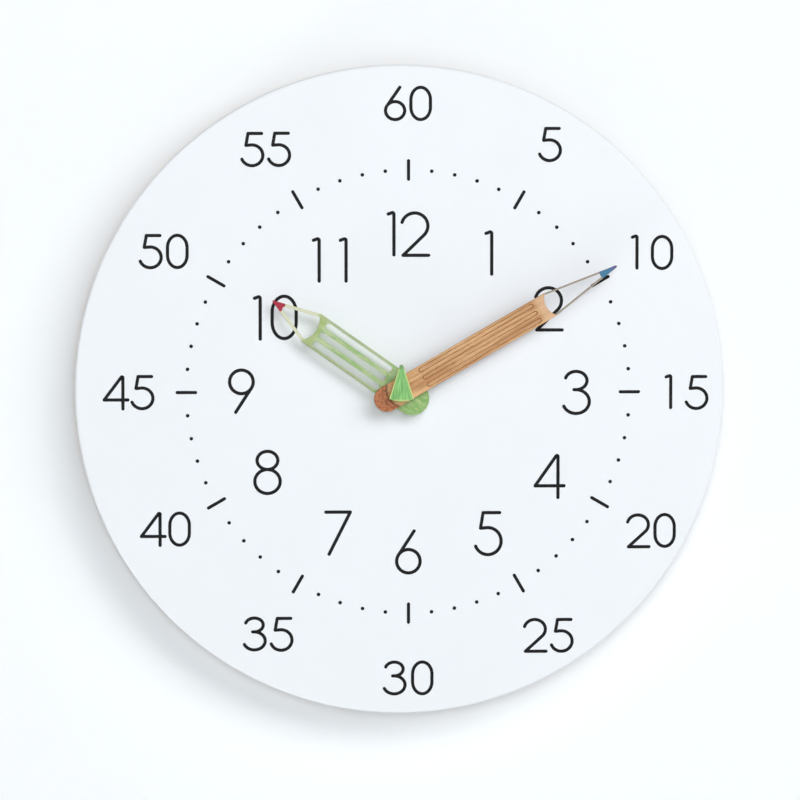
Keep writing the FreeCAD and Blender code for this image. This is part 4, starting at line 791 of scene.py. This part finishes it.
# Where each figure of a number has its middle, in millimetres from the middle of the print.
MINUTE_NUMBERS = (
    ("60", (-6.4, 131.6), (5.6, 133.1)),
    ("5", (65.9, 114.3)),
    ("10", (105.7, 65.5), (117.5, 64.5)),
    ("15", (121.6, 0.8), (134.3, -0.4)),
    ("20", (107.2, -65.3), (119.1, -64.5)),
    ("25", (59.3, -113.8), (71.8, -113.2)),
    ("30", (-5.3, -132.7), (6.4, -132.7)),
    ("35", (-70.1, -111.9), (-58.3, -112.1)),
    ("40", (-117.2, -63.3), (-105.8, -63.1)),
    ("45", (-134.1, -0.2), (-122.2, 0.0)),
    ("50", (-118.2, 64.9), (-106.5, 65.0)),
    ("55", (-71.4, 111.8), (-59.1, 111.9)),
)
HOUR_NUMBERS = (
    ("12", (-6.9, 74.2), (3.6, 72.1)),
    ("1", (38.3, 65.3)),
    ("2", (65.5, 37.6)),
    ("3", (79.3, -0.3)),
    ("4", (66.4, -39.4)),
    ("5", (37.7, -65.7)),
    ("6", (-0.3, -76.0)),
    ("7", (-32.1, -61.9)),
    ("8", (-65.2, -36.9)),
    ("9", (-76.9, 2.5)),
    ("10", (-68.6, 35.4), (-57.4, 34.6)),
    ("11", (-41.4, 62.1), (-29.0, 62.1)),
)


def stroke_points(stroke):
    """The points of a pen stroke, and whether it closes on itself."""
    points = []
    for part in stroke:
        if len(part) == 2:
            points.append(part)
        else:
            x, y, wide, high, first, last = part
            steps = max(6, round(abs(last - first) / 8))
            points += arc((x, y), (wide, high), first, last, steps)
    if math.dist(points[0], points[-1]) < 1e-6:
        return points[:-1], True
    return points, False


def middle_of(strokes):
    """Balance point of a figure's strokes."""
    weight, x, y = 0, 0, 0
    for points, closed in strokes:
        ends = points[1:] + points[:1] if closed else points[1:]
        for one, two in zip(points, ends):
            span = math.dist(one, two)
            weight += span
            x += span * (one[0] + two[0]) / 2
            y += span * (one[1] + two[1]) / 2
    return x / weight, y / weight


def draw_stroke(shape, points, closed, half, front):
    """One pen stroke as a thin solid with round ends, drawn into a bmesh."""
    count = len(points)
    left, right = [], []
    for step, (x, y) in enumerate(points):
        before = points[step - 1] if step or closed else points[0]
        after = points[(step + 1) % count] if step < count - 1 or closed else points[-1]
        run, rise = after[0] - before[0], after[1] - before[1]
        span = math.hypot(run, rise)
        left.append((x - half * rise / span, y + half * run / span))
        right.append((x + half * rise / span, y - half * run / span))

    def lay(places):
        return [[shape.verts.new((x, y, height)) for x, y in places] for height in (front, 0)]

    def wall(upper, lower):
        for one in range(len(upper)):
            two = (one + 1) % len(upper)
            shape.faces.new((upper[one], lower[one], lower[two], upper[two]))

    if closed:
        loops = [lay(left), lay(right)]
        for outer, inner in zip(*loops):
            wall(outer, inner)
        for upper, lower in loops:
            wall(upper, lower)
        return

    def cap(centre, start):
        turn = math.degrees(math.atan2(start[1] - centre[1], start[0] - centre[0]))
        return arc(centre, half, turn, turn - 180, steps=10)[1:-1]

    end_cap = cap(points[-1], left[-1])
    ends = len(end_cap)
    upper, lower = lay(left + end_cap + right[::-1] + cap(points[0], right[0]))
    wall(upper, lower)
    for level in (upper, lower):
        near, far = level[:count], level[count + ends:2 * count + ends][::-1]
        for one in range(count - 1):
            shape.faces.new((near[one], near[one + 1], far[one + 1], far[one]))
        shape.faces.new([near[-1], *level[count:count + ends], far[-1]])
        shape.faces.new([far[0], *level[2 * count + ends:], near[0]])


def number_ring(numbers, height, stroke, ink, spread=1.0):
    """Draws all numbers of a ring as one thin printed layer."""

    def build(shape):
        for text, *places in numbers:
            for figure, (across, up) in zip(text, places):
                strokes = [stroke_points(row) for row in FIGURES[figure]]
                x_middle, y_middle = middle_of(strokes)
                for layer, (points, closed) in enumerate(strokes):
                    moved = [
                        (across * MM + (x - x_middle) * height * spread, up * MM + (y - y_middle) * height)
                        for x, y in points
                    ]
                    # strokes that cross lie one above the other
                    draw_stroke(shape, moved, closed, stroke / 2, ink * (1 + 0.15 * layer))

    return build


# Operators


class CLOCK_OT_board(bpy.types.Operator):
    """Turn the white board and cut the hollows in its back"""

    bl_idname = "clock.board"
    bl_label = "Board"

    def execute(self, context):
        board = context.scene.clock_board
        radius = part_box("dial_board")[1].x
        back, front = levels("dial_board")
        edge, ease, flat = board.edge, board.back_edge, 1 * MM
        profile = [(0, back), (radius - ease - flat, back)]
        profile += arc((radius - ease, back + ease), ease, -90, 0, steps=4)
        profile += arc((radius - edge, front - edge), edge, 0, 90, steps=12)
        profile += [(radius - edge - flat, front), (0, front)]
        disc = lathe("dial_board_turned", profile, steps=256)
        fibre = fibre_finish(board)
        disc.materials.append(lacquer_finish(board))
        disc.materials.append(fibre)
        # only the flat back is raw
        for face in disc.polygons:
            face.material_index = int(face.center.z < back + 0.01 * MM)

        def hollow(loop, low, high, up=0.0):
            mesh = cut_sheet("cutter", [loop], low, high)
            mesh.transform(Matrix.Translation((0, up, 0)))
            mesh.materials.append(fibre)
            return mesh

        half = spread_of("front_case")[2] + board.pocket_room
        pocket = rounded_box(half, half, corner=board.pocket_corner)
        pocket_front = levels("rubber_gasket")[1]
        bushing_radius = 4 * MM
        bushing = circle(bushing_radius + board.hole_room)
        up, wide, tall = spread_of("hanger_plate")[1:]
        recess = rounded_box(wide + board.hanger_room, tall + board.hanger_room, corner=0.2 * MM)
        recess_front = levels("hanger_plate")[1]
        nail_room = rounded_box(board.nail_room_width / 2, board.nail_room_height / 2, corner=2 * MM)
        nail_front = recess_front + board.nail_room_depth
        cutters = [
            hollow(pocket, back - BEYOND, pocket_front),
            hollow(bushing, back, front + BEYOND),
            hollow(recess, back - BEYOND, recess_front, up),
            hollow(nail_room, back, nail_front, up),
        ]
        mesh = smooth(carved("dial_board_turned", disc, cutters))
        add_piece("dial_board_turned", mesh, "clock_body", None, "dial_board", to_front())
        return {"FINISHED"}


class CLOCK_OT_print(bpy.types.Operator):
    """Print the minute numbers, the minute track and the hour numbers on the board"""

    bl_idname = "clock.dial_print"
    bl_label = "Dial print"

    def execute(self, context):
        look = context.scene.clock_print
        ink = look.thickness

        def track(shape):
            for minute in range(60):
                turn = math.radians(6 * minute)
                along = Vector((math.sin(turn), math.cos(turn)))
                half, run = look.dot / 2, 0.01 * MM
                if minute % 5 == 0:
                    half = look.bar_width / 2
                    run = look.bar_length / 2 - half
                ends = [tuple(along * (look.track + side * run)) for side in (-1, 1)]
                draw_stroke(shape, ends, False, half, ink)

        rings = {
            "minute_numbers": number_ring(
                MINUTE_NUMBERS, look.minute_height, look.minute_stroke, ink, look.minute_spread
            ),
            "hour_numbers": number_ring(HOUR_NUMBERS, look.hour_height, look.hour_stroke, ink),
            "minute_track": track,
        }
        finish = ink_finish(look.ink)
        face = to_front(0, levels("dial_board")[1]) @ Matrix.Translation((look.across, look.up, 0))
        for name, build in rings.items():
            add_piece(name, mesh_of(name, build), "clock_body", finish, placement=face)
        return {"FINISHED"}


def bow(half, sag, lowest):
    """Arc between two corners, its middle sagging below them to lowest."""
    radius = (half * half / sag + sag) / 2
    swing = math.degrees(math.asin(half / radius))
    return arc((0, lowest + radius), radius, 270 - swing, 270 + swing, steps=16)


def pencil_loops(hand):
    """Outline of a pencil-shaped hand, the opening of its sharpened end, and its tube's hole."""
    half, play = hand.width / 2, 0.02 * MM
    # the sides run from the shoulder to the blunt end and touch it without a corner
    rise = hand.reach - hand.blunt - hand.shoulder
    lean = math.atan2(half, rise) - math.asin(hand.blunt / math.hypot(half, rise))
    taper = 1 / math.tan(lean)
    turn = math.degrees(lean)
    outline = arc((0, half - hand.tail), half, 180, 360, steps=40)
    outline += [(half, hand.shoulder)]
    outline += arc((0, hand.reach - hand.blunt), hand.blunt, turn, 180 - turn, steps=10)
    outline += [(-half, hand.shoulder)]
    inside = hand.shoulder + half * taper - hand.strut * math.sqrt(1 + taper * taper)
    high = hand.reach - hand.point
    high_half = (inside - high) / taper
    opening = bow((inside - hand.shoulder) / taper, hand.collar, hand.shoulder - hand.collar)
    opening += [(high_half, high), (-high_half, high)]
    return [outline, opening, circle(hand.tube + play, steps=48)]


def hand_lie(node, shown=0.0):
    """Half the thickness of a hand, and the placement of its middle plane."""
    back, front = levels(node)
    return (front - back) / 2, to_front(shown, (front + back) / 2)


class CLOCK_OT_hour_hand(bpy.types.Operator):
    """Cut the green pencil hand with its three slots"""

    bl_idname = "clock.hour_hand"
    bl_label = "Hour hand"

    def execute(self, context):
        hand = context.scene.clock_hour_hand
        half, place = hand_lie("hour_hand", hand.shown)
        loops = pencil_loops(hand)
        for column in COLUMNS:
            loops.append(stadium(hand.slot / 2, hand.slot_start, hand.slot_end, column * hand.slot_pitch))
        mesh = smooth(cut_sheet("hour_hand_pencil", loops, -half, half, ease=0.22 * MM))
        finish = hour_hand_finish(hand)
        add_piece("hour_hand_pencil", mesh, "hour_hand_set", finish, "hour_hand", place)
        return {"FINISHED"}


class CLOCK_OT_minute_hand(bpy.types.Operator):
    """Cut the wooden pencil hand and engrave its three outlines"""

    bl_idname = "clock.minute_hand"
    bl_label = "Minute hand"

    def execute(self, context):
        hand = context.scene.clock_minute_hand
        half, place = hand_lie("minute_hand", hand.shown)
        blank = cut_sheet("minute_hand_pencil", pencil_loops(hand), -half, half, ease=0.18 * MM)
        cutters = []
        for column in COLUMNS:
            rings = []
            for grow in (hand.line / 2, -hand.line / 2):
                start, end = hand.outline_start - grow, hand.outline_end + grow
                rings.append(stadium(hand.outline / 2 + grow, start, end, column * hand.outline_pitch))
            cutters.append(cut_sheet("cutter", rings, half - hand.line_depth, half + BEYOND))
        mesh = smooth(carved("minute_hand_pencil", blank, cutters))
        finish = minute_hand_finish(hand)
        add_piece("minute_hand_pencil", mesh, "minute_hand_set", finish, "minute_hand", place)
        return {"FINISHED"}


class CLOCK_OT_pointer(bpy.types.Operator):
    """Cut the short green pencil end over the middle of the dial"""

    bl_idname = "clock.second_pointer"
    bl_label = "Second pointer"

    def execute(self, context):
        pointer = context.scene.clock_pointer
        half, place = hand_lie("second_pointer")
        tip = pointer.tip / 2
        outline = bow(pointer.width / 2, pointer.drop - pointer.shoulder, -pointer.drop)
        outline += arc((0, pointer.rise - tip), tip, 0, 180, steps=10)
        mesh = smooth(cut_sheet("second_pointer_pencil", [outline], -half, half, ease=0.22 * MM))
        finish = pointer_finish(pointer)
        add_piece("second_pointer_pencil", mesh, "second_pointer_set", finish,
                  "second_pointer", place)
        return {"FINISHED"}


class CLOCK_OT_clamp(bpy.types.Operator):
    """Finish the bushing, nut, washer and gasket that clamp the movement"""

    bl_idname = "clock.clamp"
    bl_label = "Dial clamp"

    def execute(self, context):
        look = context.scene.clock_movement
        dress(brass_finish(look.brass), "dial_washer", "hex_nut", "threaded_bushing")
        dress(rubbery("black_rubber", paint(42, 42, 43)), "rubber_gasket")
        return {"FINISHED"}


def screw_pair():
    """Both hanger screws: domed heads with a cross recess, towards the wall."""
    low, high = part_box("hanger_screws")
    back, front = levels("hanger_screws")
    radius, whole = high.x, front - back
    head, shank, point = 1.4 * MM, 1.5 * MM, 0.2 * MM
    arm, arm_width, recess = 1.7 * MM, 0.42 * MM, 0.75 * MM
    profile = [(0, 0)]
    for step in range(7):
        turn = math.radians(90 * step / 6)
        profile.append((radius * (0.35 + 0.65 * math.sin(turn)), head * 0.85 * (1 - math.cos(turn))))
    profile += [(radius, head), (shank, head), (shank, whole - shank), (point, whole), (0, whole)]
    bars = [
        cut_sheet("cutter", [rounded_box(wide, tall, corner=0.12 * MM)], -BEYOND, recess)
        for wide, tall in ((arm_width, arm), (arm, arm_width))
    ]
    screw = carved("hanger_screw", lathe("hanger_screw", profile, steps=48), bars)

    def build(shape):
        for up in (low.z + radius, high.z - radius):
            shape.from_mesh(screw)
            for vert in shape.verts[-len(screw.vertices):]:
                vert.co = Vector((vert.co.x, -(back + vert.co.z), up + vert.co.y))

    return smooth(mesh_of("hanger_screws_slotted", build))


class CLOCK_OT_mounting(bpy.types.Operator):
    """Finish the hanger plate, its screws and the wall bumpers"""

    bl_idname = "clock.mounting"
    bl_label = "Hanger and bumpers"

    def execute(self, context):
        look = context.scene.clock_movement
        dress(brushed("zinc_plate", look.steel, (0.3, 0.3, 9)), "hanger_plate")
        half = look.bumper / 2
        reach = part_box("wall_bumpers")[1].x - half
        pad = rounded_box(half, half, corner=look.bumper_corner)
        pads = [[(x * reach + across, y * reach + up) for across, up in pad] for x, y in CORNERS]
        mesh = smooth(cut_sheet("wall_bumpers_eased", pads, *levels("wall_bumpers"), ease=0.6 * MM))
        grey = rubbery("soft_grey_rubber", look.rubber)
        add_piece("wall_bumpers_eased", mesh, "clock_body", grey, "wall_bumpers", to_front())
        steel = brushed("screw_steel", look.steel, (0.8, 0.8, 0.8), roughness=0.26)
        add_piece("hanger_screws_slotted", screw_pair(), "clock_body", steel, "hanger_screws")
        return {"FINISHED"}


class CLOCK_OT_case(bpy.types.Operator):
    """Finish the case, its cover and the setting knob"""

    bl_idname = "clock.case"
    bl_label = "Case and knob"

    def execute(self, context):
        look = context.scene.clock_movement
        dress(moulded("case_plastic", look.case), "front_case", "rear_cover")
        natural = moulded("natural_plastic", look.plate, grain=0.4, depth=0.008, roughness=0.4)
        dress(natural, "middle_plate", "coil_bobbin")
        across, up, radius = spread_of("setting_knob")[:3]
        grooves, steps = 20, 160
        grip = []
        for step in range(steps):
            turn = math.tau * step / steps
            reach = radius - look.groove * (0.5 - 0.5 * math.cos(grooves * turn))
            grip.append((across + reach * math.cos(turn), up + reach * math.sin(turn)))
        mesh = smooth(cut_sheet("setting_knob_grooved", [grip], *levels("setting_knob"), ease=0.15 * MM))
        grey = moulded("knob_plastic", paint(74, 75, 78), grain=0.3, depth=0.015, roughness=0.42)
        add_piece("setting_knob_grooved", mesh, "setting_set", grey, "setting_knob", to_front())
        return {"FINISHED"}


class CLOCK_OT_battery(bpy.types.Operator):
    """Finish the cell and its two contacts"""

    bl_idname = "clock.battery"
    bl_label = "Battery"

    def execute(self, context):
        look = context.scene.clock_movement
        low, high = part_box("battery_cell")
        radius, total = (high.z - low.z) / 2, high.x - low.x
        can = total - 1 * MM
        corner, crimp, nub_edge = 0.7 * MM, 0.35 * MM, 0.3 * MM
        profile = [(0, 0.25 * MM), (4.6 * MM, 0.25 * MM), (5 * MM, 0.05 * MM), (5.8 * MM, 0)]
        profile += arc((radius - corner, corner), corner, -90, 0, steps=6)
        profile += arc((radius - corner, can - corner), corner, 0, 90, steps=6)
        profile += [(5.6 * MM, can), (5.2 * MM, can - crimp), (3.1 * MM, can - crimp)]
        profile += arc((2.45 * MM, total - nub_edge), nub_edge, 0, 90, steps=4)
        profile.append((0, total))
        mesh = lathe("battery_cell_sleeved", profile, steps=72)
        end = Matrix.Translation((low.x, (low.y + high.y) / 2, (low.z + high.z) / 2))
        mesh.transform(end @ Matrix.Rotation(math.pi / 2, 4, "Y"))
        add_piece("battery_cell_sleeved", smooth(mesh), "clock_body", sleeve_finish(look),
                  "battery_cell")
        nickel = brushed("nickel_strip", paint(205, 203, 196), (0.4, 0.4, 5), roughness=0.24)
        dress(nickel, "negative_contact", "positive_contact")
        return {"FINISHED"}


class CLOCK_OT_motor(bpy.types.Operator):
    """Finish the stepping motor and its circuit"""

    bl_idname = "clock.motor"
    bl_label = "Motor and circuit"

    def execute(self, context):
        iron = brushed("soft_iron", paint(168, 168, 166), (4, 0.4, 0.4), roughness=0.36)
        dress(iron, "stator_plate", "coil_core")
        dress(winding_finish(context.scene.clock_movement.copper), "coil_winding")
        dress(laminate_finish(), "circuit_board")
        resin = moulded("chip_resin", paint(30, 30, 31), grain=0.12, depth=0.01, roughness=0.3)
        dress(resin, "clock_chip")
        can = brushed("crystal_can", paint(200, 200, 198), (3, 0.3, 0.3), roughness=0.22)
        dress(can, "quartz_crystal")
        magnet = moulded("sintered_magnet", paint(84, 84, 88), grain=0.3, depth=0.03, roughness=0.55)
        dress(magnet, "rotor_magnet")
        return {"FINISHED"}


class CLOCK_OT_train(bpy.types.Operator):
    """Finish the wheels and pinions of the train"""

    bl_idname = "clock.train"
    bl_label = "Wheel train"

    def execute(self, context):
        look = context.scene.clock_movement
        acetal = moulded("natural_acetal", look.gear, grain=0.5, depth=0.006, roughness=0.34)
        dress(acetal, "intermediate_wheel", "third_wheel", "centre_wheel", "hour_wheel", "minute_wheel")
        dress(acetal, "seconds_wheel", "cannon_pinion", "setting_stem")
        red = moulded("coloured_acetal", look.gear_red, grain=0.5, depth=0.006, roughness=0.34)
        dress(red, "rotor_pinion")
        return {"FINISHED"}


SENSOR = 36  # millimetres
PICTURE = 800  # side of the photograph in pixels
# Where each lamp hangs and how wide it is, in metres; its power is a property of the stage.
LAMPS = {
    "front": ((-0.2, -3.2, 0.5), 1.0),
    "window": ((3.6, -3.5, 1.9), 3.2),
    "upper": ((0.9, -2.7, 1.9), 1.9),
    "rim": ((-1.9, -0.25, -1.6), 0.5),
    "rear": ((-1.0, 2.2, 1.0), 1.6),
}


def surface(name, colour, corners, grain):
    """The wall or the floor. From behind it lets the view through, so the clock's back can be seen."""
    mesh = bpy.data.meshes.new(name)
    mesh.from_pydata(corners, [], [(0, 1, 2, 3)])
    finish = Finish(name, tint(colour, 0.985), specular=0.1)
    soft = finish.noise(grain, 3)
    finish.lay(soft, colour)
    mesh.materials.append(finish.done(0.85 + 0.1 * soft, finish.noise(1.5, 2), depth=0.01))
    behind = finish.node("ShaderNodeNewGeometry", output="Backfacing")
    clear = finish.node("ShaderNodeBsdfTransparent")
    shown = Value(finish, finish.shader.outputs[0])
    both = finish.node("ShaderNodeMixShader", None, {0: behind, 1: shown, 2: clear})
    finish.feed(finish.output.inputs[0], both)
    sheet = put(name, mesh)
    sheet.visible_shadow = False
    return sheet


class CLOCK_OT_stage(bpy.types.Operator):
    """Set up the wall, the floor, the lights and the camera"""

    bl_idname = "clock.stage"
    bl_label = "Wall, floor, light and camera"

    def execute(self, context):
        scene = context.scene
        stage = scene.clock_stage
        scene.view_settings.view_transform = "Standard"

        # the wall stands a little behind the clock, so that no face of it lies in the clock's back
        wide, deep, low, high, behind = 5.0, 4.0, -stage.floor_drop, 4.0, 0.6 * MM
        upright = [(-wide, behind, low), (wide, behind, low), (wide, behind, high), (-wide, behind, high)]
        wall = surface("wall", stage.wall, upright, 260)
        wall.visible_diffuse = False
        flat = [(-wide, -deep, low), (wide, -deep, low), (wide, deep, low), (-wide, deep, low)]
        floor = surface("floor", stage.floor, flat, 180)

        middle = Vector((0, -0.02, 0))
        for name, (place, size) in LAMPS.items():
            light = bpy.data.lights.new(f"{name}_light", "AREA")
            light.shape = "DISK"
            light.size = size
            light.energy = getattr(stage, name)
            lamp = put(f"{name}_light", light)
            lamp.location = place
            lamp.rotation_euler = (middle - Vector(place)).to_track_quat("-Z", "Y").to_euler()

        # an even light, and plain white where the camera, a gloss or glass looks past the wall
        scene.world = bpy.data.worlds.new("studio")
        sky = Nodes(scene.world)
        rays = ("Is Camera Ray", "Is Glossy Ray", "Is Transmission Ray")
        camera_ray, glossy_ray, glass_ray = sky.node("ShaderNodeLightPath", output=rays)
        seen = sky.maths("MAXIMUM", sky.maths("MAXIMUM", camera_ray, glossy_ray), glass_ray)
        strength = stage.ambient + (1 - stage.ambient) * seen
        light = sky.node("ShaderNodeBackground", None, {"Color": (1.0, 1.0, 1.0), "Strength": strength})
        sky.feed(sky.tree.nodes.new("ShaderNodeOutputWorld").inputs[0], light)

        lens = bpy.data.cameras.new("camera")
        lens.sensor_width = SENSOR
        lens.lens = SENSOR * stage.distance / stage.view_width
        camera = put("camera", lens)
        scene.camera = camera
        # the photograph's middle lies half a pixel left of the clock's and ten pixels below it
        pixel = stage.view_width / PICTURE
        target = Vector((-0.5 * pixel, -levels("dial_board")[1], -10.0 * pixel))
        level = math.cos(stage.elevation)
        back = Vector(
            (math.sin(stage.azimuth) * level, -math.cos(stage.azimuth) * level, math.sin(stage.elevation))
        )
        camera.location = target + back * stage.distance
        camera.rotation_euler = (-back).to_track_quat("-Z", "Y").to_euler()
        return {"FINISHED"}


class CLOCK_PT_panel(bpy.types.Panel):
    """Lists the pieces of the clock"""

    bl_label = "Teaching wall clock"
    bl_space_type = "VIEW_3D"
    bl_region_type = "UI"
    bl_category = "Clock"

    def draw(self, context):
        for step in STEPS:
            self.layout.operator(step.bl_idname, text=step.bl_label)
        for group in GROUPS:
            settings = getattr(context.scene, group)
            box = self.layout.box()
            box.label(text=group.replace("_", " ").capitalize())
            for key in settings.bl_rna.properties.keys():
                if key not in ("rna_type", "name"):
                    box.prop(settings, key)


STEPS = (
    CLOCK_OT_board,
    CLOCK_OT_print,
    CLOCK_OT_hour_hand,
    CLOCK_OT_minute_hand,
    CLOCK_OT_pointer,
    CLOCK_OT_clamp,
    CLOCK_OT_mounting,
    CLOCK_OT_case,
    CLOCK_OT_battery,
    CLOCK_OT_motor,
    CLOCK_OT_train,
    CLOCK_OT_stage,
)


def register():
    for one in (*GROUPS.values(), *STEPS, CLOCK_PT_panel):
        bpy.utils.register_class(one)
    for name, group in GROUPS.items():
        setattr(bpy.types.Scene, name, PointerProperty(type=group))


def unregister():
    for name in GROUPS:
        delattr(bpy.types.Scene, name)
    for one in reversed((*GROUPS.values(), *STEPS, CLOCK_PT_panel)):
        bpy.utils.unregister_class(one)


def main():
    register()
    for step in STEPS:
        family, name = step.bl_idname.split(".")
        getattr(getattr(bpy.ops, family), name)()


if __name__ == "__main__":
    main()
